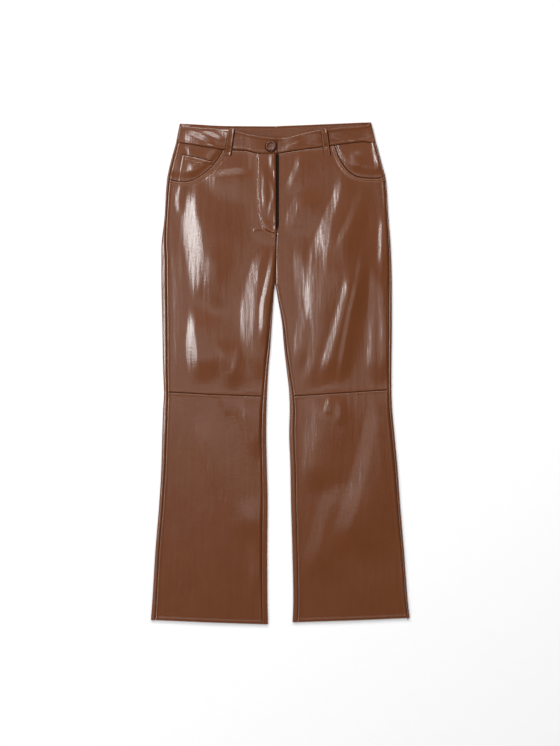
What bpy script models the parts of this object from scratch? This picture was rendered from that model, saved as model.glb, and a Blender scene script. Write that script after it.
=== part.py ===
"""Flared five-pocket trousers in faux leather, fastened and laid flat on their back.

The garment lies in the XY plane with its waist towards +Y, its front up and its underside at
z = 0. Sizes are in millimetres and become metres where a mesh is made. "right" and "left" are
the wearer's, so the right leg is on the -X side. Heights named "up" are measured along +Y from
the lowest point of the hem.
"""

import math

import bmesh
import bpy

MM = 0.001

# Driving sizes of the garment.
LENGTH = 980.0  # from the lowest hem to the top of the back waistband
CLOTH = 1.2  # coated cloth with its knitted backing
BAND_CLOTH = 2.4  # waistband: two layers and an interlining
LOOP_CLOTH = 1.6  # a belt loop is folded in three
BACK_LOOP_CLOTH = 1.2
POCKET_CLOTH = 0.9
ZIP_TAPE = 1.0
SEAM = 0.3  # space between the pieces along a seam
CROTCH = 664.0  # where the legs part
VALLEY_TOP = 742.0  # where the front dips towards the crotch
VALLEY_SHOULDER = 6.0
DOME = 0.5  # crown of a leg's upper face between its folds
BAND_LEVEL = 7.1  # upper face of the front waistband
BAND_UNDERSIDE = 1.5  # the back waistband lies on its belt loops
BUTTON_RADIUS = 10.3
BUTTON_AT = (-18.4, 933.5)
LOOP_WIDTH = 11.7
BACK_LOOP_SPREAD = 118.0
UNDERLAP_END = -37.0  # the left waistband runs on under the right one to here
OVERLAP_END = -5.4  # the right waistband ends here
OVERLAP_LIFT = 2.7
FLY_RISE = 1.6  # the fly stands this much proud, over its facing and the zip
FLY_SIDE = -45.0  # the fly's stitched side
FLY_FOOT = 764.0  # its rounded lower end
FLY_SLOPE = 7.0  # it rises to its full height over this much
FACING_DROP = 1.5  # pocket facing and zip lie this far under the panel's face
MOUTH_LIP = 2.5  # the facing stays this low above the mouth's edge
MOUTH_RUN = 12.0  # and comes up to the panel's level over this much
UNDER_MOUTH = 13.0  # the facing runs on this far under the front
FOLD_FADE = 12.0  # folds die away this near a leg's edge
CENTRE_BACK = -8.5  # the back's centre seam
CROTCH_BACK = -10.0  # the same seam at the crotch
SEAT_RUN = 60.0  # it moves over from one to the other within this much
LOOP_SWELL = 0.9  # how far a front belt loop stands off the waistband
LOOP_REST = 8.0  # its ends come down to the cloth over this much
SLIDER_UPS = (895.5, 907.5)
SLIDER_RISE = 0.9

SIDES = {"right": -1, "left": 1}


def table(names, *rows):
    """The columns of a table, by name."""
    return dict(zip(names.split(), zip(*rows)))


# The outer edge of each leg and hip.
OUTLINE = table(
    "up right left",
    (0, -253.4, 254.2),
    (48, -249.8, 248.7),
    (141, -244.2, 241.7),
    (235, -236.5, 233.9),
    (305, -232.4, 228.9),
    (375, -230.4, 222.5),
    (422, -228.6, 218.3),
    (449, -227.1, 217.2),
    (492, -228.6, 217.0),
    (586, -230.4, 217.8),
    (660, -232.0, 217.8),
    (730, -232.3, 215.8),
    (800, -225.6, 210.7),
    (847, -223.2, 208.0),
    (871, -220.8, 205.6),
    (894, -216.1, 199.4),
    (917, -210.2, 193.3),
    (941, -203.5, 186.8),
    (980, -196.2, 177.3),
)

# The inner edge of each leg, below the crotch.
INNER = table(
    "up right left",
    (0, -24.0, 23.8),
    (48, -25.2, 25.2),
    (141, -25.5, 23.5),
    (235, -24.8, 20.8),
    (305, -26.3, 19.6),
    (375, -27.6, 17.3),
    (422, -26.9, 18.4),
    (449, -26.0, 17.5),
    (492, -23.8, 13.0),
    (539, -19.9, 7.5),
    (586, -16.7, 3.3),
    (633, -13.5, -4.4),
    (656, -11.9, -8.1),
    (664, -10.5, -9.6),
)

# The edges of the two fronts at the centre, above the crotch: the fly stands a little open.
CENTRE = table(
    "up right left",
    (664, -10.2, -9.8),
    (700, -9.5, -9.1),
    (735, -8.5, -8.1),
    (752, -8.0, -7.5),
    (766, -8.0, -5.5),
    (782, -8.6, -2.6),
    (920, -9.3, -2.3),
)

# How far each seam lies in from the leg's edge: the back wraps over onto the upper face.
SEAM_INSET = table(
    "up right_side right_inseam left_inseam left_side",
    (0, 8.5, 11.0, 10.0, 4.0),
    (250, 7.0, 10.5, 10.0, 5.0),
    (405, 8.0, 9.4, 9.4, 5.5),
    (449, 7.0, 8.0, 8.2, 6.0),
    (492, 7.5, 6.6, 6.0, 6.0),
    (600, 9.0, 3.4, 3.2, 6.0),
    (650, 9.5, 0.9, 0.9, 5.5),
    (664, 9.5, 0.4, 0.4, 5.3),
    (710, 9.5, 0.4, 0.4, 4.5),
    (800, 3.4, 0.4, 0.4, 3.4),
    (870, 4.6, 0.4, 0.4, 3.2),
    (941, 4.0, 0.4, 0.4, 3.2),
)

# Heights of the underside and of the upper face.
LEVELS = table(
    "up underside upper",
    (0, 0.0, 4.4),
    (700, 0.0, 4.6),
    (800, 0.0, 5.2),
    (850, 0.0, 5.8),
    (905, 1.5, 6.5),
    (980, 1.5, 6.7),
)

# Seams across the legs and the waist, from the outer edge (0) to the centre (1).
HEM = table("across right left", (0, 8.0, 12.0), (0.5, 3.5, 7.5), (1, 0.0, 4.0))
KNEE = table("across right left", (0, 453.0, 457.6), (0.5, 448.0, 451.5), (1, 445.0, 445.4))

# The seam under the front waistband, from the side to the centre.
WAIST_SEAM = {
    "right": table(
        "x up",
        (-203.5, 941.0),
        (-111.0, 926.3),
        (-67.0, 924.7),
        (-48.0, 919.8),
        (-35.6, 917.9),
        (UNDERLAP_END, 918.0),
        (OVERLAP_END, 918.6),
    ),
    "left": table(
        "x up",
        (186.8, 939.3),
        (159.4, 941.6),
        (124.3, 937.4),
        (105.5, 934.8),
        (82.4, 931.5),
        (38.5, 926.1),
        (-2.3, 919.8),
        (UNDERLAP_END, 919.8),
    ),
}

# The top edge of the front waistband.
BAND_TOP = {
    "right": table(
        "x up",
        (-196.2, 977.5),
        (-190.0, 973.0),
        (-162.0, 971.0),
        (-102.0, 966.0),
        (-63.0, 956.6),
        (-28.0, 951.0),
        (OVERLAP_END, 949.6),
    ),
    "left": table(
        "x up",
        (177.3, 980.0),
        (169.0, 974.2),
        (124.3, 970.0),
        (77.5, 965.0),
        (38.0, 957.5),
        (-2.3, 949.4),
        (UNDERLAP_END, 949.4),
    ),
}

# The back waistband's two edges, from the side to the centre back.
BACK_BAND = table(
    "across right_seam right_top left_seam left_top",
    (0, 941.0, 977.5, 939.3, 980.0),
    (0.5, 935.0, 972.6, 935.0, 976.0),
    (1, 932.0, 972.0, 932.0, 972.2),
)

# The curved mouth of each front pocket, from the side seam to the waist seam.
MOUTH = {
    "right": table(
        "x up",
        (-216.0, 867.4),
        (-206.4, 865.0),
        (-186.3, 863.5),
        (-167.4, 868.3),
        (-154.0, 876.3),
        (-139.3, 887.4),
        (-129.2, 898.6),
        (-118.0, 913.2),
        (-111.0, 926.3),
    ),
    "left": table(
        "x up",
        (202.0, 873.6),
        (190.0, 870.0),
        (172.0, 870.3),
        (153.2, 872.5),
        (138.5, 879.2),
        (129.6, 887.0),
        (121.0, 898.5),
        (114.0, 910.7),
        (105.5, 934.8),
    ),
}

# Where the rows of the thigh panels lie: along the side seam, and along the centre of each.
THIGH_ROWS = table(
    "side front back",
    (453, 445, 445),
    (480, 472, 472),
    (510, 502, 502),
    (540, 533, 533),
    (570, 565, 565),
    (598, 600, 600),
    (622, 632, 632),
    (640, 650, 650),
    (650, 659, 659),
    (660, 665, 665),
    (676, 684, 682),
    (702, 708, 706),
    (728, 738, 734),
    (754, 770, 764),
    (780, 802, 794),
    (806, 834, 824),
    (830, 866, 852),
    (850, 894, 876),
    (867, 919, 894),
    (892, None, 908),
    (916, None, 921),
    (941, None, 932),
)
MOUTH_ROW = 18
CROTCH_ROW = 9
LEG_ROWS = 14

# Columns of the front panels at the knee, and the waist seam's columns past the pocket's mouth.
FRONT_COLUMNS = (0, 0.05, 0.12, 0.19, 0.26, 0.34, 0.42, 0.5, 0.58, 0.66, 0.74, 0.82, 0.9, 0.968, 0.988, 1)
WAIST_COLUMNS = {
    "right": (-90.0, -67.0, -48.0, -35.6, -20.0, -13.0),
    "left": (82.4, 60.0, 38.5, 18.0, 6.0, 1.0),
}
LOWER_COLUMNS = (0, 0.06, 0.16, 0.28, 0.39, 0.5, 0.61, 0.72, 0.84, 0.94, 1)

# Shares of the way round a rounded edge, across the waistband and down a pocket facing.
ROUND_SHARES = (0, 0.25, 0.5, 0.75, 1)
BAND_SHARES = (0, 0.2, 0.5, 0.8, 1)
BAND_BACK_SHARES = (0, 0.08, 0.22, 0.36, 0.5, 0.64, 0.78, 0.92, 1)
FACING_SHARES = (0, 0.35, 0.7, 1)
LOOP_SHARES = (-0.5, -0.25, 0, 0.25, 0.5)
FLAT_INSET = 10.0  # columns of the back near its centre seam spread over this much
FOLD_STEPS = 6  # steps of the waistband round the side
BACK_LOOP_UPS = (916.0, 930.0, 945.0, 960.0, 969.5)

# The largest folds of the upper face, as soft ridges, or troughs where the height is negative.
FOLDS = table(
    "side x_from up_from x_to up_to width height",
    ("right", -188, 862, -170, 770, 16, 1.2),
    ("right", -170, 770, -166, 633, 13, 1.1),
    ("right", -166, 633, -176, 490, 12, 0.8),
    ("right", -154, 851, -60, 848, 10, 0.6),
    ("right", -166, 826, -60, 824, 12, -0.5),
    ("right", -22, 752, -52, 680, 9, 1.1),
    ("right", -17, 742, -37, 621, 8, 1.1),
    ("right", -37, 621, -40, 552, 9, 0.8),
    ("right", -156, 360, -113, 250, 15, 0.9),
    ("right", -63, 441, -60, 365, 13, 0.8),
    ("right", -186, 965, -120, 931, 8, 0.7),
    ("left", 38, 846, 9, 785, 9, 0.8),
    ("left", 119, 860, 83, 756, 11, 1.0),
    ("left", 153, 825, 115, 752, 11, 0.9),
    ("left", 194, 822, 196, 715, 9, 0.7),
    ("left", 158, 750, 140, 637, 9, 1.0),
    ("left", 140, 637, 112, 520, 9, 1.0),
    ("left", 112, 520, 109, 425, 9, 0.7),
    ("left", 179, 705, 178, 455, 11, 0.7),
    ("left", 118, 580, 84, 495, 11, 0.9),
    ("left", 40, 764, 26, 700, 9, 0.9),
    ("left", 4, 730, 12, 600, 9, 0.8),
    ("left", 180, 445, 118, 208, 19, 0.9),
    ("left", 82, 246, 54, 86, 15, 0.8),
)

# Front belt loops: the middle of the top and bottom of each.
FRONT_LOOPS = table(
    "side x_top up_top x_bottom up_bottom",
    ("right", -94.9, 967.0, -102.9, 914.5),
    ("left", 84.9, 967.0, 91.9, 915.5),
)

# The coin pocket on the right facing.
COIN_TOP = table("x up", (-190.5, 916.5), (-163.0, 910.5), (-134.0, 903.5))
COIN_SLANT = -9.0  # how far its side edge leans out on the way down
COIN_COLUMNS = 8

# The zip: its tape, with the chain raised in the middle.
ZIP_COLUMNS = table(
    "x raised",
    (-31.0, 0.0),
    (-20.5, 0.0),
    (-19.5, 0.6),
    (-13.5, 0.6),
    (-12.5, 0.0),
    (-6.0, 0.0),
    (6.0, 0.0),
    (16.0, 0.0),
)
ZIP_UPS = (771.0, 785.0, 810.0, 835.0, 860.0, 885.0, 895.0, 895.8, 907.0, 907.8, 912.0, 917.0)

# The button's profile from its crown's middle, over the rim, to the foot of the shank.
BUTTON_PROFILE = table(
    "radius height",
    (0.0, 2.5),
    (5.0, 2.6),
    (7.3, 2.9),
    (8.5, 3.6),
    (9.4, 3.6),
    (10.1, 3.0),
    (BUTTON_RADIUS, 2.2),
    (9.6, 1.5),
    (3.6, 1.2),
    (3.4, 0.0),
    (0.0, 0.0),
)
BUTTON_STEPS = 28
MITRE_LIMIT = 0.7  # keeps a wall's inner corners short

BROWN = (0.160, 0.052, 0.022)
DARK_BROWN = (0.030, 0.014, 0.009)


def lerp(a, b, t):
    return a + (b - a) * t


def clamp(value, low=0.0, high=1.0):
    return max(low, min(high, value))


def ease(t):
    """A smooth step from 0 to 1."""
    t = clamp(t)
    return t * t * (3 - 2 * t)


def straight(rows, key, column, at):
    """The column's value at a place in the key's column, in straight lines between rows."""
    points = sorted(zip(rows[key], rows[column]))
    for (a, low), (b, high) in zip(points, points[1:]):
        if at <= b:
            break
    return lerp(low, high, (at - a) / (b - a))


def smooth(rows, key, column, at):
    """The same on a smooth curve that never swings past its rows."""
    xs, ys = rows[key], rows[column]
    last = len(xs) - 1
    slopes = [(ys[k + 1] - ys[k]) / (xs[k + 1] - xs[k]) for k in range(last)]

    def tangent(k):
        if k in (0, last):
            return slopes[min(k, last - 1)]
        before, after = slopes[k - 1], slopes[k]
        return 0.0 if before * after <= 0 else 2 * before * after / (before + after)

    k = next((k for k in range(last) if at <= xs[k + 1]), last - 1)
    span = xs[k + 1] - xs[k]
    t = clamp((at - xs[k]) / span)
    return (
        ys[k] * (1 + 2 * t) * (1 - t) ** 2
        + ys[k + 1] * (3 - 2 * t) * t**2
        + span * (tangent(k) * t * (1 - t) ** 2 - tangent(k + 1) * (1 - t) * t**2)
    )


def outer_edge(side, up):
    return smooth(OUTLINE, "up", side, up)


def inner_edge(side, up):
    """The leg's inner edge, or the front's centre edge above the crotch."""
    return smooth(INNER if up < CROTCH else CENTRE, "up", side, up)


def side_seam(side, up):
    return outer_edge(side, up) - SIDES[side] * smooth(SEAM_INSET, "up", side + "_side", up)


def inseam(side, up):
    if up >= CROTCH:
        return inner_edge(side, up)
    return inner_edge(side, up) + SIDES[side] * smooth(SEAM_INSET, "up", side + "_inseam", up)


def fold_radius(up):
    """The radius of a leg's or hip's rounded side edge."""
    return (smooth(LEVELS, "up", "upper", up) - smooth(LEVELS, "up", "underside", up)) / 2


def edge_drop(radius, distance):
    """How far a rounded fold has fallen at a distance in from its edge."""
    if distance >= radius:
        return 0.0
    return radius - math.sqrt(radius**2 - (radius - max(distance, 0.0)) ** 2)


def plain_height(side, x, up):
    """The upper face without its folds: a crowned face between rounded edges."""
    upper = smooth(LEVELS, "up", "upper", up)
    radius = fold_radius(up)
    from_outer = abs(outer_edge(side, up) - x)
    from_inner = abs(x - inner_edge(side, up))
    share = from_outer / (from_outer + from_inner)
    height = upper + DOME * 4 * share * (1 - share) - edge_drop(radius, from_outer)
    if up < CROTCH:
        return height - edge_drop(radius, from_inner)
    depth = (upper - 2 * CLOTH - 1.5 * SEAM) * ease((VALLEY_TOP - up) / (VALLEY_TOP - CROTCH))
    shoulder = edge_drop(1.0, clamp(from_inner / VALLEY_SHOULDER))
    return height - depth * shoulder


def fold_height(side, x, up):
    total = 0.0
    for fold_side, x_from, up_from, x_to, up_to, width, height in zip(*FOLDS.values()):
        if fold_side != side:
            continue
        run, rise = x_to - x_from, up_to - up_from
        length = math.hypot(run, rise)
        along = ((x - x_from) * run + (up - up_from) * rise) / length
        off = abs((x - x_from) * rise - (up - up_from) * run) / length
        past = max(0.0, -along, along - length)
        total += height * math.exp(-((off / width) ** 2) - (past / (2 * width)) ** 2)
    edge = min(abs(outer_edge(side, up) - x), abs(x - inner_edge(side, up)))
    return total * ease(edge / FOLD_FADE)


def fly_height(side, x, up):
    """The right front's raised fly: straight down, with a rounded lower end."""
    if side == "left":
        return 0.0
    return FLY_RISE * ease(min(x - FLY_SIDE, up - FLY_FOOT) / FLY_SLOPE)


def face_height(side, x, up):
    """The upper face of a front panel."""
    return plain_height(side, x, up) + fold_height(side, x, up) + fly_height(side, x, up)


def band_height(side, x, up):
    """The upper face of the front waistband, which rises where the right end laps the left."""
    lift = OVERLAP_LIFT * ease((x + 72) / 28) if side == "right" else 0.0
    return BAND_LEVEL + lift + fold_height(side, x, min(up, 970.0))


def material(name, colour, roughness):
    made = bpy.data.materials.new(name)
    made.use_nodes = True
    shader = made.node_tree.nodes["Principled BSDF"]
    shader.inputs["Base Color"].default_value = (*colour, 1)
    shader.inputs["Roughness"].default_value = roughness
    shader.inputs["Metallic"].default_value = 0.0
    return made


def place(x, up, z):
    """A point of the garment in metres, from the middle of its length."""
    return (x * MM, (up - LENGTH / 2) * MM, z * MM)


def inner_face(row, wall, inward, rim=None):
    """The points behind a cloth's face, square to it in the section across the leg.

    rim holds the face's outward direction at the row's two ends, where it is set by a seam.
    """
    steps = [(b[0] - a[0], b[2] - a[2]) for a, b in zip(row, row[1:])]
    normals = [(-dz / math.hypot(dx, dz), dx / math.hypot(dx, dz)) for dx, dz in steps]
    behind = []
    for k, (x, up, z) in enumerate(row):
        before, after = normals[max(k - 1, 0)], normals[min(k, len(normals) - 1)]
        spread = 1 + before[0] * after[0] + before[1] * after[1]
        reach = wall * inward / max(spread, MITRE_LIMIT)
        behind.append((x + reach * (before[0] + after[0]), up, z + reach * (before[1] + after[1])))
    for k, out in zip((0, -1), rim or ()):
        x, up, z = row[k]
        behind[k] = (x - wall * out[0], up, z - wall * out[1])
    return behind


def fold_direction(up, seam_in, towards_edge):
    """The outward direction of a leg's upper face at a seam near its rounded edge."""
    radius = fold_radius(up)
    lean = clamp(1 - seam_in / radius)
    return (towards_edge * lean, math.sqrt(1 - lean**2))


def seam_rims(side, rows, centre):
    """The outward directions at both seams of each row; centre is the one above the crotch."""
    sign = SIDES[side]
    rims = []
    for row in rows:
        outer_up, inner_up = row[0][1], row[-1][1]
        seam_in = smooth(SEAM_INSET, "up", side + "_side", outer_up)
        first = fold_direction(outer_up, seam_in, sign)
        last = centre
        if inner_up < CROTCH:
            seam_in = smooth(SEAM_INSET, "up", side + "_inseam", inner_up)
            last = fold_direction(inner_up, seam_in, -sign)
        rims.append((first, last))
    return rims


def cloth(collection, name, rows, wall, inward, colour, rims=None, roughness=0.35):
    """A wall of cloth, lofted through its rows of (x, up, z) points and the rows behind them."""
    solid = bmesh.new()
    rims = rims or [None] * len(rows)
    strips = [row + inner_face(row, wall, inward, rim)[::-1] for row, rim in zip(rows, rims)]
    made = [[solid.verts.new(place(*point)) for point in strip] for strip in strips]
    for low, high in zip(made, made[1:]):
        for j in range(len(low)):
            solid.faces.new((low[j - 1], low[j], high[j], high[j - 1]))
    for end in (made[0], made[-1]):
        half = len(end) // 2
        for j in range(half - 1):
            solid.faces.new((end[j], end[j + 1], end[-2 - j], end[-1 - j]))
    bmesh.ops.recalc_face_normals(solid, faces=solid.faces)
    mesh = bpy.data.meshes.new(name)
    solid.to_mesh(mesh)
    solid.free()
    mesh.shade_smooth()
    mesh.set_sharp_from_angle(angle=math.radians(40))
    mesh.materials.append(material(name, colour, roughness))
    piece = bpy.data.objects.new(name, mesh)
    collection.objects.link(piece)
    return piece


def front_row(side, side_up, inner_up, columns, bow):
    """One row of a front panel, between its seams."""
    sign = SIDES[side]
    row = []
    for share, lift in zip(columns, bow):
        up = lerp(side_up, inner_up, share) + lift
        start = side_seam(side, up) - sign * SEAM / 2
        end = inseam(side, up) + (0 if up >= CROTCH else sign * SEAM / 2)
        x = lerp(start, end, share)
        row.append((x, up, face_height(side, x, up)))
    return row


def mouth_side(side, up):
    """Rescales the side seam's rows so that one of them meets the pocket's mouth."""
    knee = KNEE[side][0]
    mouth = MOUTH[side]["up"][0]
    waist = WAIST_SEAM[side]["up"][0]
    rows = THIGH_ROWS["side"]
    if up <= rows[MOUTH_ROW]:
        return lerp(knee, mouth, (up - rows[0]) / (rows[MOUTH_ROW] - rows[0]))
    return lerp(mouth, waist, (up - rows[MOUTH_ROW]) / (rows[-1] - rows[MOUTH_ROW]))


def front_thigh(side):
    """From the knee seam to the pocket's mouth and the waist seam."""
    mouth = MOUTH[side]
    top_x = list(mouth["x"]) + list(WAIST_COLUMNS[side])
    top_up = list(mouth["up"])
    top_up += [straight(WAIST_SEAM[side], "x", "up", x) for x in WAIST_COLUMNS[side]]
    centre_x = CENTRE[side][-1]
    centre_up = straight(WAIST_SEAM[side], "x", "up", centre_x)
    top_x.append(centre_x)
    top_up.append(centre_up)
    top_share = []
    for x, up in zip(top_x, top_up):
        start, end = side_seam(side, up), inseam(side, up)
        top_share.append(clamp((x - start) / (end - start)))
    top_share[0], top_share[-1] = 0.0, 1.0
    rows = []
    for k in range(MOUTH_ROW + 1):
        side_up = mouth_side(side, THIGH_ROWS["side"][k])
        inner_up = THIGH_ROWS["front"][k]
        if k == 0:
            inner_up = KNEE[side][-1]
        if k == MOUTH_ROW:
            inner_up = centre_up
        high = ease((k - CROTCH_ROW) / (MOUTH_ROW - CROTCH_ROW))
        low = 1 - ease(k / CROTCH_ROW)
        columns = [lerp(a, b, high) for a, b in zip(FRONT_COLUMNS, top_share)]
        bow = []
        for j, share in enumerate(columns):
            at_top = top_up[j] - lerp(top_up[0], centre_up, top_share[j])
            knee = straight(KNEE, "across", side, share)
            at_knee = knee - lerp(KNEE[side][0], KNEE[side][-1], share)
            bow.append(at_top * high**2 + at_knee * low)
        row = front_row(side, side_up, inner_up, columns, bow)
        if k == 0:
            row = [(x, up + SEAM / 2, z) for x, up, z in row]
        rows.append(row)
    return rows


def lower_heights(side, across):
    """The rows of a lower leg, at a share of the way across."""
    hem = straight(HEM, "across", side, across)
    knee = straight(KNEE, "across", side, across) - SEAM / 2
    return [lerp(hem, knee, k / (LEG_ROWS - 1)) for k in range(LEG_ROWS)]


def front_lower(side):
    heights = [lower_heights(side, share) for share in LOWER_COLUMNS]
    rows = []
    for ups in zip(*heights):
        bow = [up - lerp(ups[0], ups[-1], s) for up, s in zip(ups, LOWER_COLUMNS)]
        rows.append(front_row(side, ups[0], ups[-1], LOWER_COLUMNS, bow))
    return rows


def round_edge(edge, inward, up, seam_in):
    """Points from under a leg, round its edge and up to the seam on its upper face."""
    quarter = math.pi / 2
    radius = fold_radius(up)
    underside = smooth(LEVELS, "up", "underside", up)
    climb = quarter if seam_in >= radius else math.acos(clamp(1 - seam_in / radius))
    flat = max(seam_in - radius, 0.0)
    arc = radius * (quarter + climb) + flat
    rounded = min(radius * 2 * quarter, arc - 0.8)
    points = []
    for travelled in [rounded * share for share in ROUND_SHARES] + [arc]:
        angle = travelled / radius - quarter
        if angle <= quarter:
            depth = radius * (1 - math.cos(angle))
            z = underside + radius * (1 + math.sin(angle))
        else:
            depth = radius + travelled - radius * 2 * quarter
            z = underside + 2 * radius
        points.append((edge + inward * depth, z))
    return points


def back_section(side, side_up, inner_up):
    """One row of a back panel, round from the side seam, under the leg, to the inseam."""
    sign = SIDES[side]
    seam_in = smooth(SEAM_INSET, "up", side + "_side", side_up) - SEAM / 2
    outer = round_edge(outer_edge(side, side_up), -sign, side_up, seam_in)[::-1]
    if inner_up < CROTCH:
        seam_in = smooth(SEAM_INSET, "up", side + "_inseam", inner_up) - SEAM / 2
        inner = round_edge(inner_edge(side, inner_up), sign, inner_up, seam_in)
    else:
        underside = smooth(LEVELS, "up", "underside", inner_up)
        centre = lerp(CENTRE_BACK, CROTCH_BACK, ease((VALLEY_TOP - inner_up) / SEAT_RUN))
        centre += sign * SEAM / 2
        steps = [1 - share for share in ROUND_SHARES] + [0]
        steps[-2] = 0.08
        inner = [(centre + sign * FLAT_INSET * step, underside) for step in steps]
    under = []
    for share in (0.25, 0.5, 0.75):
        x = lerp(outer[-1][0], inner[0][0], share)
        up = lerp(side_up, inner_up, share)
        under.append((x, smooth(LEVELS, "up", "underside", up)))
    points = outer + under + inner
    start, end = outer[-1][0], inner[0][0]
    shares = [clamp((x - start) / (end - start)) for x, _ in under]
    ups = [side_up] * len(outer) + [lerp(side_up, inner_up, s) for s in shares]
    ups += [inner_up] * len(inner)
    return [(x, up, z) for (x, z), up in zip(points, ups)]


def bowed(row, line, column, offset):
    """Bends a back panel's end row along the seam across the leg."""
    bent = []
    for x, up, z in row:
        share = clamp((x - row[0][0]) / (row[-1][0] - row[0][0]))
        target = straight(line, "across", column, share)
        bent.append((x, target + offset, z))
    return bent


def back_thigh(side):
    rows = []
    for k, (nominal, inner_up) in enumerate(zip(THIGH_ROWS["side"], THIGH_ROWS["back"])):
        row = back_section(side, mouth_side(side, nominal), inner_up)
        if k == 0:
            row = bowed(row, KNEE, side, SEAM / 2)
        if k == len(THIGH_ROWS["side"]) - 1:
            row = bowed(row, BACK_BAND, side + "_seam", -SEAM)
        rows.append(row)
    return rows


def back_lower(side):
    outer, inner = lower_heights(side, 0), lower_heights(side, 1)
    rows = [back_section(side, a, b) for a, b in zip(outer, inner)]
    rows[0] = bowed(rows[0], HEM, side, 0.0)
    rows[-1] = bowed(rows[-1], KNEE, side, -SEAM / 2)
    return rows


def waistband(side):
    """Half of the waistband, from its front end round the side to the centre back."""
    sign = SIDES[side]
    seam, top = WAIST_SEAM[side], BAND_TOP[side]
    radius = (BAND_LEVEL - BAND_UNDERSIDE) / 2
    side_low = (seam["x"][0], seam["up"][0] + SEAM)
    side_high = (top["x"][0], top["up"][0])
    end = OVERLAP_END if side == "right" else UNDERLAP_END
    turn = side_low[0] - sign * radius
    stops = sorted({x for x in (*seam["x"], *top["x"]) if (x - turn) * -sign > 6})
    stops += [lerp(a, b, 0.5) for a, b in zip(stops, stops[1:]) if b - a > 20]
    stops = sorted({*stops, end, turn}, key=lambda x: x * sign)
    stations = []
    for x in stops:
        high_x = lerp(side_high[0] - sign * radius, x, clamp((x - turn) / (end - turn)))
        low_up = straight(seam, "x", "up", x) + SEAM
        high_up = straight(top, "x", "up", high_x)
        station = []
        for share in BAND_SHARES:
            at, up = lerp(x, high_x, share), lerp(low_up, high_up, share)
            station.append((at, up, band_height(side, at, up)))
        stations.append(station)
    for step in range(1, FOLD_STEPS):
        angle = math.pi * (0.5 - step / FOLD_STEPS)
        reach = radius * (1 - math.cos(angle))
        z = BAND_UNDERSIDE + radius * (1 + math.sin(angle))
        back = step / FOLD_STEPS
        front_low = straight(seam, "x", "up", turn) + SEAM
        front_high = straight(top, "x", "up", side_high[0] - sign * radius)
        low_up = lerp(front_low, BACK_BAND[side + "_seam"][0] + SEAM, back)
        high_up = lerp(front_high, side_high[1], ease(back * 2))
        stations.append([
            (
                lerp(side_low[0], side_high[0], share) - sign * reach,
                lerp(low_up, high_up, share),
                z,
            )
            for share in BAND_SHARES
        ])
    for across in BAND_BACK_SHARES:
        low_up = straight(BACK_BAND, "across", side + "_seam", across) + SEAM
        high_up = smooth(BACK_BAND, "across", side + "_top", across)
        middle = CENTRE_BACK + sign * SEAM / 2
        low_x = lerp(turn, middle, across)
        high_x = lerp(side_high[0] - sign * radius, middle, across)
        stations.append([
            (lerp(low_x, high_x, share), lerp(low_up, high_up, share), BAND_UNDERSIDE)
            for share in BAND_SHARES
        ])
    return [list(row) for row in zip(*stations)]


def mouth_up(side, x):
    """The height of the pocket's mouth, or of the waist seam where the mouth has met it."""
    mouth = MOUTH[side]
    if (x - mouth["x"][-1]) * SIDES[side] <= 0:
        return straight(WAIST_SEAM[side], "x", "up", x)
    return straight(mouth, "x", "up", x)


def facing_drop(side, x, up):
    above = up - mouth_up(side, x)
    return FACING_DROP * (1 - ease((above - MOUTH_LIP) / MOUTH_RUN))


def pocket_facing(side):
    """The piece seen in the pocket's mouth, sewn in at the side and the waist."""
    sign = SIDES[side]
    mouth = MOUTH[side]
    xs = list(mouth["x"][1:]) + [mouth["x"][-1] - sign * 6, mouth["x"][-1] - sign * 14]

    def inside_seam(j, x, up):
        """Each column keeps its distance from the side seam, and the first lies along it."""
        seam = side_seam(side, up) - sign * SEAM / 2
        if j == 0:
            return seam
        return min(x * sign, seam * sign - 4 * j) * sign

    columns = []
    for j, x in enumerate([mouth["x"][0], *xs]):
        column = []
        top_x = inside_seam(j, x, WAIST_SEAM[side]["up"][0])
        waist = straight(WAIST_SEAM[side], "x", "up", top_x) - SEAM
        edge = min(mouth_up(side, x), waist - 3.0)
        ups = [edge - UNDER_MOUTH, edge + 1.5]
        ups += [lerp(ups[1], waist, share) for share in FACING_SHARES[1:]]
        for up in ups:
            at = inside_seam(j, x, up)
            drop = facing_drop(side, at, up)
            column.append((at, up, plain_height(side, at, up) - drop))
        columns.append(column)
    return [list(row) for row in zip(*columns)]


def coin_pocket():
    """The small patch pocket on the right facing, down to the mouth."""
    side = "right"
    low_x, high_x = COIN_TOP["x"][0] + COIN_SLANT, COIN_TOP["x"][-1]
    rows = []
    for share in (0, 0.33, 0.66, 1):
        row = []
        for j in range(COIN_COLUMNS):
            across = j / (COIN_COLUMNS - 1)
            start = lerp(low_x, COIN_TOP["x"][0], share)
            x = lerp(start, high_x, across)
            low = mouth_up(side, x) + 1.2
            up = lerp(low, straight(COIN_TOP, "x", "up", x), share)
            facing = plain_height(side, x, up) - facing_drop(side, x, up)
            row.append((x, up, facing + 2 * SEAM + POCKET_CLOTH))
        rows.append(row)
    return rows


def front_loop(k):
    """A belt loop over the waistband and a little of the front below it."""
    side, x_top, up_top, x_bottom, up_bottom = (column[k] for column in FRONT_LOOPS.values())
    waist = straight(WAIST_SEAM[side], "x", "up", x_bottom)
    ups = [up_bottom, lerp(up_bottom, waist, 0.5), waist - 0.5, waist + 3]
    ups += [lerp(waist + 3, up_top, share) for share in (0.3, 0.6, 0.85, 1)]
    rows = []
    for up in ups:
        middle = straight({"up": (up_bottom, up_top), "x": (x_bottom, x_top)}, "up", "x", up)
        xs = [middle + LOOP_WIDTH * across for across in LOOP_SHARES]
        under = [band_height(side, x, max(up, waist)) for x in xs]
        swell = LOOP_SWELL * ease((up - waist) / LOOP_REST) * ease((up_top - up) / LOOP_REST)
        z = max(under) + SEAM + LOOP_CLOTH + swell
        rows.append([(x, up, z - 0.25 * (j in (0, 4))) for j, x in enumerate(xs)])
    return rows


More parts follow.
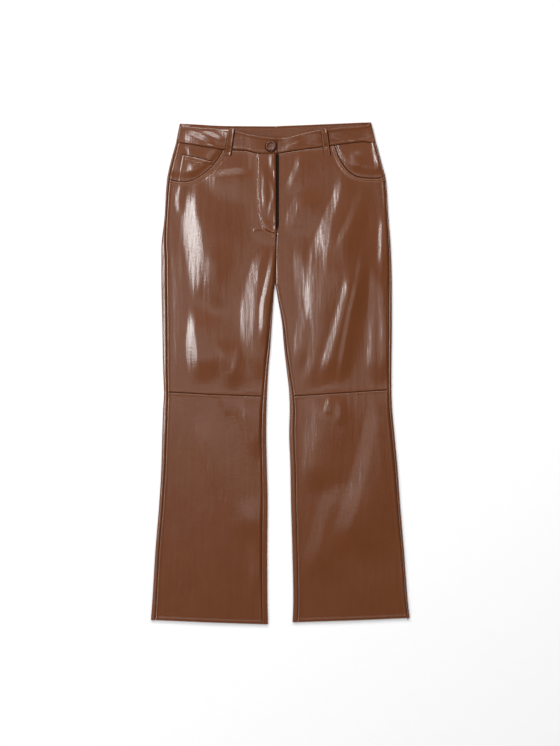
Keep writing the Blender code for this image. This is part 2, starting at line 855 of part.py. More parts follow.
def back_loop(middle):
    """A belt loop under the back waistband, on which the waist lies."""
    xs = [middle + LOOP_WIDTH * across for across in LOOP_SHARES]
    return [[(x, up, 0.0) for x in xs] for up in BACK_LOOP_UPS]


def zip_strip():
    """The closed zip under the fly: its tape, chain and slider."""
    rows = []
    for up in ZIP_UPS:
        row = []
        for x, raised in zip(*ZIP_COLUMNS.values()):
            side = "right" if x < CENTRE_BACK else "left"
            if raised and SLIDER_UPS[0] < up < SLIDER_UPS[1]:
                raised += SLIDER_RISE
            row.append((x, up, plain_height(side, x, up) - FACING_DROP + raised))
        rows.append(row)
    return rows


def button(collection):
    """A turned button with a raised rim and a dished middle, on a short shank."""
    profile = bmesh.new()
    points = list(zip(*BUTTON_PROFILE.values()))
    verts = [profile.verts.new((radius * MM, 0, z * MM)) for radius, z in points]
    for a, b in zip(verts, verts[1:]):
        profile.edges.new((a, b))
    mesh = bpy.data.meshes.new("button")
    profile.to_mesh(mesh)
    profile.free()
    mesh.materials.append(material("button", BROWN, 0.25))
    piece = bpy.data.objects.new("button", mesh)
    collection.objects.link(piece)
    x, up = BUTTON_AT
    highest = max(band_height("right", x + dx, up) for dx in (-4, 0, 4))
    piece.location = place(x, up, highest + SEAM)
    turn = piece.modifiers.new("Turn", "SCREW")
    turn.steps = turn.render_steps = BUTTON_STEPS
    turn.use_merge_vertices = True
    turn.merge_threshold = 0.00001
    turn.use_smooth_shade = True


def build():
    for old in list(bpy.data.objects):
        bpy.data.objects.remove(old)
    collection = bpy.data.collections.new("flared_trousers")
    bpy.context.scene.collection.children.link(collection)
    for side, sign in SIDES.items():
        for name, panel in (("front_thigh_", front_thigh), ("front_lower_", front_lower)):
            rows = panel(side)
            rims = seam_rims(side, rows, (0, 1))
            cloth(collection, name + side, rows, CLOTH, sign, BROWN, rims)
        for name, panel in (("back_thigh_", back_thigh), ("back_lower_", back_lower)):
            rows = panel(side)
            rims = seam_rims(side, rows, (0, -1))
            cloth(collection, name + side, rows, CLOTH, -sign, BROWN, rims)
        cloth(collection, "waistband_" + side, waistband(side), BAND_CLOTH, -sign, BROWN)
        cloth(collection, "pocket_facing_" + side, pocket_facing(side), CLOTH, sign, BROWN)
    cloth(collection, "coin_pocket", coin_pocket(), POCKET_CLOTH, -1, BROWN)
    for k, side in enumerate(FRONT_LOOPS["side"]):
        cloth(collection, "belt_loop_front_" + side, front_loop(k), LOOP_CLOTH, -1, BROWN)
    back_loops = {
        "belt_loop_back_right": CENTRE_BACK - BACK_LOOP_SPREAD,
        "belt_loop_back_centre": CENTRE_BACK,
        "belt_loop_back_left": CENTRE_BACK + BACK_LOOP_SPREAD,
    }
    for name, middle in back_loops.items():
        cloth(collection, name, back_loop(middle), BACK_LOOP_CLOTH, 1, BROWN)
    cloth(collection, "fly_zip", zip_strip(), ZIP_TAPE, -1, DARK_BROWN, roughness=0.6)
    button(collection)


build()
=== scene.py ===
"""Looks of the flared faux-leather trousers, laid flat on a pale floor and seen from above.

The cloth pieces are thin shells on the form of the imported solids. They repeat the garment's own
sizes, in millimetres: "up" runs along +Y from the lowest point of the hem, and "right" and "left"
are the wearer's, so the right leg is on the -X side.
"""

import math

import bpy
import numpy as np
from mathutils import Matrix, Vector


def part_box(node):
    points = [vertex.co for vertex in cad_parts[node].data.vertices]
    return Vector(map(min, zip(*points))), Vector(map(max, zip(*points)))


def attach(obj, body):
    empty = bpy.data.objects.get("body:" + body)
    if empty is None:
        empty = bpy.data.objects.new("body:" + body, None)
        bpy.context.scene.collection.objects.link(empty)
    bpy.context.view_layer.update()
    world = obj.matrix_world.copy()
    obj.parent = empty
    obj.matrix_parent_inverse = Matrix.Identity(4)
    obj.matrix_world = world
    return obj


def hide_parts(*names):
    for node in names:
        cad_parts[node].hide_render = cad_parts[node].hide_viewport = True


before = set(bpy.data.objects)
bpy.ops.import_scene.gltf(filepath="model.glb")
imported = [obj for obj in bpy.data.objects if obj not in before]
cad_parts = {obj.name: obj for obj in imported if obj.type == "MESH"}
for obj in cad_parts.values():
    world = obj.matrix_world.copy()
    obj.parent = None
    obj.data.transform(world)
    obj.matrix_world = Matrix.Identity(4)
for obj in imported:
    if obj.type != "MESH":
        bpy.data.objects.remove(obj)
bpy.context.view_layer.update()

MM = 0.001
SIDES = {"right": -1, "left": 1}

# The garment's sizes, in millimetres.
LENGTH = 980.0
CLOTH = 1.2
BAND_CLOTH = 2.4
LOOP_CLOTH = 1.6
BACK_LOOP_CLOTH = 1.0
POCKET_CLOTH = 0.9
TAPE_CLOTH = 1.0
SEAM = 0.3
CROTCH = 664.0
CROTCH_SIDE = 660.0
VALLEY_TOP = 742.0
VALLEY_SHOULDER = 6.0
DOME = 0.5
THIGH_WIDTH = 218.0
THIGH_HEIGHT = 440.0
LOWER_WIDTH = 222.0
LOWER_HEIGHT = 450.0
BACK_HEIGHT = 490.0
CENTRE_BACK = -8.5
CROTCH_BACK = -10.0
SEAT_RUN = 60.0
SEAT_SPREAD = 10.0
BAND_DEPTH = 42.0
BAND_LEVEL = 7.1
BAND_UNDERSIDE = 1.5
BAND_ROLL = 1.1
HEM_ROLL = 0.8
UNDERLAP_END = -37.0
OVERLAP_END = -5.4
OVERLAP_LIFT = 2.7
OVERLAP_CORNER = 5.0
LOOP_WIDTH = 11.7
LOOP_SWELL = 0.9
LOOP_REST = 8.0
LOOP_ROLL = 0.9
BACK_LOOP_ROLL = 0.5
BACK_LOOP_SPREAD = 118.0
BACK_LOOP_FOOT = 916.0
BACK_LOOP_TOP = 969.5
FLY_RISE = 1.6
FLY_PUFF = 1.0
FLY_FOOT = 764.0
FACING_DROP = 1.5
FACING_TUCK = 40.0
MOUTH_LIP = 2.5
MOUTH_SOFT = 20.0
UNDER_MOUTH = 13.0
COIN_WIDTH = 56.0
COIN_HEIGHT = 44.0
COIN_SLANT = -9.0
COIN_ROLL = 0.6
ZIP_X = (-31.0, 16.0)
ZIP_UP = (771.0, 917.0)
BUTTON_AT = (-18.4, 933.5)
BUTTON_RADIUS = 11.0

# How far apart the points of the grids are, and their counts.
PLAIN_STEP = 2.0
BAND_STEP = 1.6
BACK_STEP = 5.0
BACK_FINE = (0.0, 1.5, 3.5)
BAND_FINE = (0.0, 0.25, 0.6, 1.1, 1.8, 2.6)
COIN_FINE = (0.0, 0.4, 0.9, 1.5, 2.3)
LOOP_FINE = (0.0, 0.3, 0.7, 1.3)
FLY_FINE = 42.0
EDGE_SHARES = np.linspace(0, 1, 11)
STRIP_SHARES = np.array([0.2, 0.4, 0.58, 0.72, 0.84, 0.93, 1.0])
BACK_COLUMNS = 42

# Ridges and grooves along a line: their rise, how far from the line they run, and their width.
SEAM_RIDGE = (3.0, 2.0)
SEAM_RISE = 0.42
SEAM_GROOVE = ((-0.55, 0.0, 0.9),)
FLY_RIDGE = ((0.5, 2.4, 1.3),)
MOUTH_RIDGES = ((0.45, 1.5, 4.5), (-0.3, 8.5, 1.2))
HEM_RIDGES = ((0.25, 4.0, 3.0), (-0.3, 7.5, 0.9))
BAND_RIDGES = ((0.3, 3.5, 2.0),)
INSIDE_RIDGES = ((-0.35, 3.2, 0.7), (0.2, 1.2, 1.2))
COIN_SIDE_RIDGES = ((0.35, 2.6, 1.5), (-0.35, 5.2, 0.8))
COIN_TOP_RIDGES = ((0.35, 3.0, 2.0), (-0.3, 7.0, 0.8))
LOOP_SIDE_RIDGES = ((0.35, 1.4, 1.0),)
LOOP_END_RIDGES = ((-0.25, 4.0, 0.8),)

# Painted shade: the dark strips laid in the seams, beside the belt loops, under the pocket edges and round
# the button, with how far each lies over the cloth, and its width.
PAINTED_SHADE_STRIPS = {
    "waist": (0.1, 1.4), "knee": (-0.1, 1.1), "legs": (0.22, 1.2), "mouth": (0.25, 1.6), "crotch": (0.3, 2.0),
    "fly": (0.12, 0.9), "coin": (0.5, 1.3), "near": (0.3, 0.9), "far": (0.3, 1.9), "button": (0.3, 2.0),
}

# How folds are rounded, blended at bends and faded at their ends, and where their light comes from.
ROUNDED = 0.3
LIT_FROM = (-0.75, 0.65)
FOLD_STEP = 2.0
FOLD_BLEND = 2.0
FOLD_FADE = 0.35
LONGEST_FADE = 60.0
FOLD_REACH = 2.6

# How much the waistband's front leans, at places along x, and how much its inside does above a height.
BAND_LEAN = (
    (-203, -0.01), (-122, -0.01), (-95, 0.11), (-12, 0.11), (5, 0.0), (42, 0.0), (78, 0.12), (187, 0.12)
)
INSIDE_LEAN = 0.1
INSIDE_BEND = 947.0

# Stitches: how far apart they start, their length and radius.
TOPSTITCH = (3.6, 2.8, 0.42)
BARTACK = (8.0, 6.2, 0.6)
COIN_STITCH = (3.4, 2.6, 0.36)
LOOP_STITCH = (3.2, 2.4, 0.3)

# The studio, in metres and watts: each light's name, place, size and power, and each fill's bearing.
WORLD = 0.04
CAMERA_AT = (-0.0005, 0.0004, 6.0)
LENS = 148.18
LIGHTS = (
    ("key", (-2.05, 0.9, 6.0), (1.0, 2.0), 160.0),
    ("top", (0.2, 2.75, 6.0), (3.0, 0.6), 85.0),
    ("ceiling", (0.0, 0.08, 6.3), (1.5, 0.4), 5.0),
)
FILL_AWAY = 4.0
FILL_UP = 2.7
FILL_SIZE = (1.8, 1.8)
FILLS = ((62, 66.0), (122, 118.0), (200, 50.0), (300, 30.0))
FLOOR_HALF = 6.0
FLOOR_LEVEL = -0.0004

# Colours, and the leather's soft unevenness: its scale along x, y and z and its depth in metres.
BROWN = (0.131, 0.0404, 0.0139)
LEATHER_ROUGH = 0.195
MOTTLE = (0.94, 1.04)
GLOSS_SPREAD = (-0.015, 0.02)
RELIEFS = (((90.0, 270.0, 90.0), 0.0001), ((100.0, 13.0, 60.0), 0.00038))
THREAD = (0.40, 0.19, 0.11)
# The zip tape's colour: its own dark colour, darkened to near black as painted shade in the slot beside the
# fly.
TAPE_AND_SLOT_SHADE = (0.013, 0.006, 0.0035)
# Painted shade: the near-black colour of the strips laid over seams and beside sewn-on pieces.
PAINTED_SHADE_COLOUR = (0.022, 0.008, 0.004)
GLOSS = (0.105, 0.032, 0.012)
PALE = (0.94, 0.94, 0.94)


def table(names, *rows):
    """The columns of a table, by name."""
    return dict(zip(names.split(), zip(*rows)))


OUTLINE = table(
    "up right left",
    (0, -253.4, 254.2),
    (48, -249.8, 248.7),
    (141, -244.2, 241.7),
    (235, -236.5, 233.9),
    (305, -232.4, 228.9),
    (375, -230.4, 222.5),
    (422, -228.6, 218.3),
    (449, -227.1, 217.2),
    (492, -228.6, 217.0),
    (586, -230.4, 217.8),
    (660, -232.0, 217.8),
    (730, -232.3, 215.8),
    (800, -225.6, 210.7),
    (847, -223.2, 208.0),
    (871, -220.8, 205.6),
    (894, -216.1, 199.4),
    (917, -210.2, 193.3),
    (941, -203.5, 186.8),
    (980, -196.2, 177.3),
)
INNER = table(
    "up right left",
    (0, -24.0, 23.8),
    (48, -25.2, 25.2),
    (141, -25.5, 23.5),
    (235, -24.8, 20.8),
    (305, -26.3, 19.6),
    (375, -27.6, 17.3),
    (422, -26.9, 18.4),
    (449, -26.0, 17.5),
    (492, -23.8, 13.0),
    (539, -19.9, 7.5),
    (586, -16.7, 3.3),
    (633, -13.5, -4.4),
    (656, -11.9, -8.1),
    (664, -10.5, -9.6),
)
CENTRE = table(
    "up right left",
    (664, -10.2, -9.8),
    (700, -9.5, -9.1),
    (735, -8.5, -8.1),
    (752, -8.0, -7.5),
    (766, -8.0, -5.5),
    (782, -8.6, -2.6),
    (920, -9.3, -2.3),
)
SEAM_INSET = table(
    "up right_side right_inseam left_inseam left_side",
    (0, 8.5, 11.0, 10.0, 4.0),
    (250, 7.0, 10.5, 10.0, 5.0),
    (405, 8.0, 9.4, 9.4, 5.5),
    (449, 7.0, 8.0, 8.2, 6.0),
    (492, 7.5, 6.6, 6.0, 6.0),
    (600, 9.0, 3.4, 3.2, 6.0),
    (650, 9.5, 0.9, 0.9, 5.5),
    (664, 9.5, 0.4, 0.4, 5.3),
    (710, 9.5, 0.4, 0.4, 4.5),
    (800, 3.4, 0.4, 0.4, 3.4),
    (870, 4.6, 0.4, 0.4, 3.2),
    (941, 4.0, 0.4, 0.4, 3.2),
)
LEVELS = table(
    "up underside upper",
    (0, 0.0, 4.4),
    (700, 0.0, 4.6),
    (800, 0.0, 5.2),
    (850, 0.0, 5.8),
    (905, 1.5, 6.5),
    (980, 1.5, 6.7),
)
HEM = table("across right left", (0, 8.0, 12.0), (0.5, 3.5, 7.5), (1, 0.0, 4.0))
KNEE = table("across right left", (0, 453.0, 457.6), (0.5, 448.0, 451.5), (1, 445.0, 445.4))
WAIST_SEAM = {
    "right": table(
        "x up",
        (-203.5, 941.0), (-111.0, 926.3), (-67.0, 924.7), (-48.0, 919.8), (-35.6, 917.9),
        (UNDERLAP_END, 918.0), (OVERLAP_END, 918.6),
    ),
    "left": table(
        "x up",
        (186.8, 939.3), (159.4, 941.6), (124.3, 937.4), (105.5, 934.8), (82.4, 931.5), (38.5, 926.1),
        (-2.3, 919.8), (UNDERLAP_END, 919.8),
    ),
}
BAND_TOP = {
    "right": table(
        "x up",
        (-196.2, 977.5), (-190.0, 973.0), (-162.0, 971.0), (-102.0, 966.0), (-63.0, 956.6),
        (-28.0, 951.0), (OVERLAP_END, 949.6),
    ),
    "left": table(
        "x up",
        (177.3, 980.0), (169.0, 974.2), (124.3, 970.0), (77.5, 965.0), (38.0, 957.5), (-2.3, 949.4),
        (UNDERLAP_END, 949.4),
    ),
}
BACK_BAND = table(
    "across right_seam right_top left_seam left_top",
    (0, 941.0, 977.5, 939.3, 980.0),
    (0.5, 935.0, 972.6, 935.0, 976.0),
    (1, 932.0, 972.0, 932.0, 972.2),
)
MOUTH = {
    "right": table(
        "x up",
        (-216.0, 867.4), (-206.4, 865.0), (-186.3, 863.5), (-167.4, 868.3), (-154.0, 876.3),
        (-139.3, 887.4), (-129.2, 898.6), (-118.0, 913.2), (-111.0, 926.3),
    ),
    "left": table(
        "x up",
        (202.0, 873.6), (190.0, 870.0), (172.0, 870.3), (153.2, 872.5), (138.5, 879.2), (129.6, 887.0),
        (121.0, 898.5), (114.0, 910.7), (105.5, 934.8),
    ),
}
# Heights that the panels' rows pass through, at their outer and their inner edges.
THIGH_SIDES = (
    453, 480, 510, 540, 570, 598, 622, 640, 650, 660, 676, 702, 728, 754, 780, 806, 830, 850, 867
)
THIGH_CENTRES = (
    445, 472, 502, 533, 565, 600, 632, 650, 659, 665, 684, 708, 738, 770, 802, 834, 866, 894, 919
)
BACK_SIDES = (453, 540, 622, 650, 660, 676, 728, 780, 830, 867, 892, 916, 941)
BACK_CENTRES = (445, 533, 632, 659, 665, 682, 734, 794, 852, 894, 908, 921, 932)
MOUTH_SHARES = (0, 0.05, 0.12, 0.19, 0.26, 0.34, 0.42, 0.5, 0.58)
# x and up of the front belt loops at the top, then at the foot.
FRONT_LOOPS = {"right": (-94.9, 967.0, -102.9, 914.5), "left": (84.9, 967.0, 91.9, 915.5)}
COIN_TOP = table("x up", (-190.5, 916.5), (-163.0, 910.5), (-134.0, 903.5))

# The fly's outline, the line pressed into it, its two rows of stitches and its bartacks, as x and up.
FLY_EDGE = (
    (-44.5, 935.0), (-44.0, 912.0), (-41.8, 826.0), (-38.5, 794.0),
    (-30.5, 773.0), (-18.5, 766.0), (-6.0, 765.5),
)
FLY_MIDDLE = (
    (-44.6, 912.0), (-41.9, 825.8), (-38.5, 794.4), (-30.6, 773.0), (-18.8, 766.0), (-11.5, 765.5)
)
FLY_STITCHES = (
    ((-47.1, 912.3), (-45.3, 825.8), (-41.4, 792.7), (-33.6, 770.4), (-20.4, 762.5), (-12.0, 762.0)),
    ((-42.0, 911.6), (-38.5, 825.8), (-35.5, 796.0), (-27.5, 775.8), (-17.3, 769.4), (-11.0, 769.0)),
)
TACK_X = (-17.5, -10.5)
TACK_UP = (766.2, 757.4)

# The button's profile: radius and height, from the middle of its top to its foot.
BUTTON = (
    (0.0, 2.0), (3.0, 2.05), (5.2, 2.3), (6.2, 2.9), (7.2, 3.8), (8.3, 4.05), (9.5, 3.4),
    (10.3, 2.3), (9.6, 1.5), (5.0, 1.1), (3.4, 0.9), (3.4, 0.0), (0.0, 0.0),
)

# Each panel's folds: how steep the lit side is, how far the dark side spreads against the lit one,
# then x, up and width at places down the middle of the lit side.
FOLDS = {
    "right": (
        (0.10, 1.0, ((-191, 875, 9), (-198, 850, 10), (-201, 832, 10), (-200, 812, 10), (-195, 789, 9))),
        (0.115, 1.1, (
            (-171, 878, 14), (-175, 851, 20), (-178, 808, 38), (-173, 763, 53),
            (-170, 738, 53), (-169, 691, 38), (-167, 640, 24), (-169, 610, 20),
        )),
        (0.135, 2.0, ((-174, 636, 20), (-175, 584, 25), (-174, 543, 30), (-168, 491, 32), (-160, 460, 32))),
        (0.10, 1.3, ((-145, 745, 24), (-142, 675, 29), (-141, 597, 26))),
        (0.03, 1.0, ((-203, 758, 20), (-204, 632, 26), (-205, 467, 20))),
        (0.12, 2.0, ((-160, 866, 17), (-135, 877, 20), (-106, 882, 23), (-75, 884, 23), (-42, 879, 20))),
        (0.112, 1.6, (
            (-20, 752, 12), (-43, 718, 23), (-57, 667, 35), (-65, 604, 47),
            (-63, 546, 35), (-47, 487, 24), (-44, 460, 18),
        )),
        (0.15, 1.1, ((-12, 752, 9), (-24, 681, 13), (-36, 623, 13), (-39, 565, 13), (-44, 530, 12))),
        (0.10, 2.0, ((-126, 560, 18), (-115, 508, 20), (-104, 452, 24))),
        (0.11, 1.2, ((-80, 556, 8), (-90, 520, 10), (-97, 476, 12))),
        (0.065, 1.2, ((-130, 455, 10), (-115, 426, 12), (-104, 398, 12))),
        (0.07, 1.5, ((-175, 408, 20), (-145, 325, 26), (-113, 247, 29), (-74, 143, 29))),
        (0.09, 1.5, ((-98, 450, 24), (-71, 395, 32), (-47, 312, 29))),
        (0.085, 1.2, ((-90, 243, 35), (-65, 175, 35), (-46, 40, 30))),
        (0.11, 1.0, ((-36, 902, 7), (-34, 843, 9), (-33, 792, 7))),
        (0.12, 1.0, ((-19, 926, 9), (-19, 902, 10), (-18, 880, 8))),
        (0.14, 1.0, ((-25, 880, 8), (-16, 839, 9), (-24, 802, 8), (-26, 780, 7))),
        (0.10, 1.0, ((-37, 788, 7), (-28, 776, 7), (-16, 770, 7))),
    ),
    "left": (
        (0.096, 1.3, ((33, 925, 15), (31, 898, 15), (9, 842, 20))),
        (0.075, 1.2, ((52, 856, 26), (31, 822, 29), (19, 793, 26), (14, 755, 20))),
        (0.124, 1.2, (
            (117, 905, 15), (109, 840, 23), (89, 785, 38), (77, 730, 58), (72, 701, 64),
            (67, 641, 53), (68, 582, 35), (60, 524, 24), (44, 458, 28),
        )),
        (0.13, 1.2, ((158, 864, 15), (138, 800, 18), (113, 742, 18), (103, 702, 18))),
        (0.18, 1.1, ((196, 828, 10), (195, 763, 13), (193, 707, 14), (193, 665, 14))),
        (0.16, 1.1, ((193, 700, 14), (196, 594, 15), (196, 535, 15), (195, 465, 16))),
        (0.09, 1.1, (
            (36, 764, 12), (33, 716, 27), (38, 665, 29),
            (44, 613, 29), (35, 555, 26), (30, 485, 18),
        )),
        (0.19, 1.5, ((135, 712, 15), (122, 641, 19), (107, 582, 22), (91, 526, 23), (76, 465, 18))),
        (0.17, 1.2, ((158, 745, 9), (148, 674, 10), (134, 609, 10), (123, 553, 11), (108, 458, 9))),
        (0.145, 1.8, ((179, 724, 12), (179, 633, 18), (175, 555, 20), (174, 500, 18), (184, 458, 24))),
        (0.11, 1.2, ((94, 450, 12), (90, 430, 12), (84, 406, 12))),
        (0.13, 1.2, ((110, 448, 9), (111, 422, 10), (108, 385, 12))),
        (0.107, 1.5, ((190, 456, 26), (176, 391, 32), (159, 313, 41), (136, 235, 44), (102, 140, 40))),
        (0.085, 1.2, ((46, 455, 50), (62, 399, 53), (56, 345, 45), (48, 250, 35))),
        (0.07, 1.2, ((103, 290, 35), (72, 184, 35), (46, 80, 30))),
    ),
    "left_facing": (
        (0.15, 1.2, ((176, 944, 9), (186, 902, 10), (190, 880, 9))),
        (0.09, 1.2, ((140, 928, 18), (140, 906, 18), (145, 882, 18))),
    ),
    "right_facing": (
        (0.11, 1.2, ((-198, 932, 9), (-204, 910, 9), (-210, 882, 9))),
        (0.085, 1.2, ((-176, 905, 15), (-177, 888, 18), (-178, 872, 15))),
        (0.08, 1.2, ((-185, 934, 9), (-180, 921, 9), (-178, 909, 9))),
        (0.08, 1.2, ((-150, 915, 7), (-135, 921, 9), (-120, 928, 7))),
    ),
}
BAND_FOLDS = {
    "right": (
        (0.17, 1.1, ((-191, 967, 12), (-170, 958, 15), (-151, 949, 17), (-133, 937, 17), (-116, 923, 12))),
        (0.15, 1.1, ((-161, 968, 9), (-139, 959, 12), (-119, 950, 12), (-101, 940, 9))),
    ),
    "left": (
        (0.15, 1.2, ((2, 943, 8), (19, 950, 9), (40, 958, 8))),
        (0.17, 1.2, ((2, 930, 9), (21, 937, 9), (43, 945, 8))),
        (0.16, 1.2, ((95, 958, 9), (126, 949, 12), (160, 938, 9))),
    ),
}
BACK_FOLDS = {
    "right": (
        (0.035, 1.2, ((-78, 828, 45), (-108, 750, 52), (-127, 652, 45))),
        (0.035, 1.2, ((-166, 711, 30), (-160, 613, 35), (-147, 516, 30))),
        (0.035, 1.2, ((-127, 399, 35), (-114, 301, 40), (-98, 184, 35))),
    ),
    "left": (
        (0.035, 1.2, ((78, 838, 40), (107, 750, 47), (117, 633, 40))),
        (0.035, 1.2, ((136, 672, 24), (117, 574, 29), (101, 487, 24))),
        (0.035, 1.2, ((136, 399, 35), (121, 282, 40), (97, 145, 35))),
    ),
}

# Each sheet's finished width and length in metres, by side, and what it lies on if not the floor.
SHEETS = (
    ("front_thigh_", {"right": (0.222, 0.482), "left": (0.226, 0.489)}, ("back_thigh_",)),
    ("front_lower_", {"right": (0.212, 0.453), "left": (0.223, 0.453)}, ("back_lower_",)),
    ("back_thigh_", {"right": (0.245, 0.496), "left": (0.248, 0.494)}, ()),
    ("back_lower_", {"right": (0.250, 0.453), "left": (0.252, 0.453)}, ()),
    ("waistband_", {"right": (0.040, 0.385), "left": (0.040, 0.410)}, ("back_thigh_", "belt_loop_back_")),
    ("pocket_facing_", {"right": (0.119, 0.090), "left": (0.111, 0.085)}, ("back_thigh_",)),
    ("coin_pocket", {"": (0.0655, 0.052)}, ("pocket_facing_right",)),
    ("belt_loop_front_", {"right": (0.0117, 0.053), "left": (0.0117, 0.052)}, ("waistband_",)),
    ("belt_loop_back_", dict.fromkeys(("right", "centre", "left"), (0.0117, 0.0535)), ()),
    ("fly_zip", {"": (0.047, 0.146)}, ("back_thigh_right", "back_thigh_left")),
)


def lerp(a, b, t):
    return a + (b - a) * t


def ease(t):
    """A smooth step from 0 to 1."""
    t = np.clip(t, 0.0, 1.0)
    return t * t * (3 - 2 * t)


def bump(distance, width):
    return np.exp(-((distance / width) ** 2))


def hermite(values, tangents, k, span, t):
    """The cubic from value k to value k + 1, at a share t of the span between them."""
    return (
        values[k] * (1 + 2 * t) * (1 - t) ** 2
        + values[k + 1] * (3 - 2 * t) * t**2
        + span * (tangents[k] * t * (1 - t) ** 2 - tangents[k + 1] * (1 - t) * t**2)
    )


def ridges(rows, distance):
    """The height of a table of ridges and grooves, at a distance from their line."""
    return sum(rise * bump(distance - place, width) for rise, place, width in rows)


def smooth(rows, key, column, at):
    """The column's value at a place in the key's column, on a curve that never swings past its rows."""
    points = np.array(sorted(zip(rows[key], rows[column])), float)
    xs, ys = points[:, 0], points[:, 1]
    slopes = np.diff(ys) / np.diff(xs)
    before, after = slopes[:-1], slopes[1:]
    both = np.where(before * after > 0, before + after, 1.0)
    inside = np.where(before * after > 0, 2 * before * after / both, 0.0)
    tangents = np.concatenate((slopes[:1], inside, slopes[-1:]))
    k = np.clip(np.searchsorted(xs, at) - 1, 0, len(slopes) - 1)
    span = xs[k + 1] - xs[k]
    return hermite(ys, tangents, k, span, np.clip((at - xs[k]) / span, 0.0, 1.0))


def straight(rows, key, column, at):
    """The same in straight lines, carried on past the ends."""
    points = np.array(sorted(zip(rows[key], rows[column])), float)
    xs, ys = points[:, 0], points[:, 1]
    k = np.clip(np.searchsorted(xs, at) - 1, 0, len(xs) - 2)
    return lerp(ys[k], ys[k + 1], (at - xs[k]) / (xs[k + 1] - xs[k]))


def curve(points, step):
    """Points along a smooth curve through the given ones, of any number of columns."""
    points = np.array(points, float)
    gaps = np.hypot(*np.diff(points[:, :2], axis=0).T)
    along = np.concatenate(([0.0], np.cumsum(gaps)))
    if len(points) > 2:
        tangents = np.gradient(points, along, axis=0)
    else:
        tangents = np.diff(points, axis=0)[[0, 0]] / gaps[0]
    at = np.linspace(0, along[-1], max(4, int(along[-1] / step)))
    k = np.clip(np.searchsorted(along, at) - 1, 0, len(gaps) - 1)
    return hermite(points, tangents, k, gaps[k][:, None], ((at - along[k]) / gaps[k])[:, None])


def directions(line):
    """Steps of length 1 along a line, as seen from above."""
    ahead = np.gradient(line[:, :2], axis=0)
    return ahead / np.hypot(*ahead.T)[:, None]


def beside(line, distance):
    """A line moved sideways, to the left of its direction."""
    ahead = directions(line)
    return line[:, :2] + distance * np.stack((-ahead[:, 1], ahead[:, 0]), axis=1)


def distance_to(line, x, up):
    """How far each point lies from a dense line."""
    found = np.full(np.shape(x), 1e9)
    for a in range(0, len(line), 16):
        part = line[a : a + 16]
        gap = np.hypot(x[..., None] - part[:, 0], up[..., None] - part[:, 1])
        found = np.minimum(found, gap.min(axis=-1))
    return found


def outer_edge(side, up):
    return smooth(OUTLINE, "up", side, up)


def inner_edge(side, up):
    return np.where(up < CROTCH, smooth(INNER, "up", side, up), smooth(CENTRE, "up", side, up))


def side_inset(side, up):
    return smooth(SEAM_INSET, "up", side + "_side", up)


def inseam_inset(side, up):
    return smooth(SEAM_INSET, "up", side + "_inseam", up)


def side_seam(side, up):
    return outer_edge(side, up) - SIDES[side] * side_inset(side, up)


def inseam(side, up):
    return inner_edge(side, up) + SIDES[side] * np.where(up < CROTCH, inseam_inset(side, up), 0.0)


def underside(up):
    return smooth(LEVELS, "up", "underside", up)


def upper(up):
    return smooth(LEVELS, "up", "upper", up)


def edge_drop(radius, distance):
    """How far a rounded fold has fallen at a distance in from its edge."""
    depth = np.clip(radius - np.maximum(distance, 0.0), 0.0, radius)
    return radius - np.sqrt(radius**2 - depth**2)


def plain_height(side, x, up):
    """The upper face without its folds."""
    level = upper(up)
    radius = (level - underside(up)) / 2
    from_outer = np.abs(outer_edge(side, up) - x)
    from_inner = np.abs(x - inner_edge(side, up))
    share = from_outer / (from_outer + from_inner)
    height = level + DOME * 4 * share * (1 - share) - edge_drop(radius, from_outer)
    depth = (level - 2 * CLOTH - 1.5 * SEAM) * ease((VALLEY_TOP - up) / (VALLEY_TOP - CROTCH))
    shoulder = edge_drop(1.0, np.clip(from_inner / VALLEY_SHOULDER, 0, 1))
    return np.where(up < CROTCH, height - edge_drop(radius, from_inner), height - depth * shoulder)


def flank(share):
    """The height left at a share of the way down a fold's lit side, which is straight in its middle."""
    share = np.clip(share, 0.0, 1.0)
    top, foot = np.minimum(share / ROUNDED, 1), np.minimum((1 - share) / ROUNDED, 1)
    curved = ROUNDED * (top**3 - top**4 / 2 - foot**3 + foot**4 / 2 + 0.5)
    return 1 - (curved + np.clip(share - ROUNDED, 0, 1 - 2 * ROUNDED)) / (1 - ROUNDED)


def fold_relief(folds, side, x, up):
    """The sum of the folds: each is a ridge with its own width towards the light and away from it."""
    x, up = np.broadcast_arrays(x, up)
    total = np.zeros(x.shape)
    for steep, spread, path in folds[side]:
        line = curve(path, FOLD_STEP)
        tangents = directions(line)
        across = np.stack((tangents[:, 1], -tangents[:, 0]), axis=1)
        across = across * -np.sign(across @ np.array(LIT_FROM))[:, None]
        line[:, :2] += across * line[:, 2:] / 2
        widths = line[:, 2]
        along = np.arange(len(line)) * FOLD_STEP
        fade = min(FOLD_FADE * along[-1], LONGEST_FADE)
        heights = steep * widths * (1 - ROUNDED) * ease(along / fade) * ease((along[-1] - along) / fade)
        line = np.stack((line[:, 0], line[:, 1], heights, widths, widths * spread), axis=1)
        reach = max(FOLD_REACH * spread, 1.0) * widths.max()
        low, high = line[:, :2].min(axis=0) - reach, line[:, :2].max(axis=0) + reach
        near = (x > low[0]) & (x < high[0]) & (up > low[1]) & (up < high[1])
        if not near.any():
            continue
        dx = x[near][:, None] - line[:, 0]
        dup = up[near][:, None] - line[:, 1]
        away = np.hypot(dx, dup)
        k = away.argmin(axis=1)
        weight = np.exp((away.min(axis=1, keepdims=True) - away) / FOLD_BLEND)
        weight /= weight.sum(axis=1, keepdims=True)
        off = (weight * (dx * across[:, 0] + dup * across[:, 1])).sum(axis=1)
        height, lit, dark = (weight @ line[:, 2:]).T
        ends = (k == 0) | (k == len(line) - 1)
        each = np.arange(len(k))
        past = np.where(ends, np.abs(dx[each, k] * tangents[k, 0] + dup[each, k] * tangents[k, 1]), 0.0)
        profile = np.where(off < 0, flank(-off / lit), bump(off, dark))
        total[near] += height * profile * bump(past, np.minimum(lit, dark))
    return total


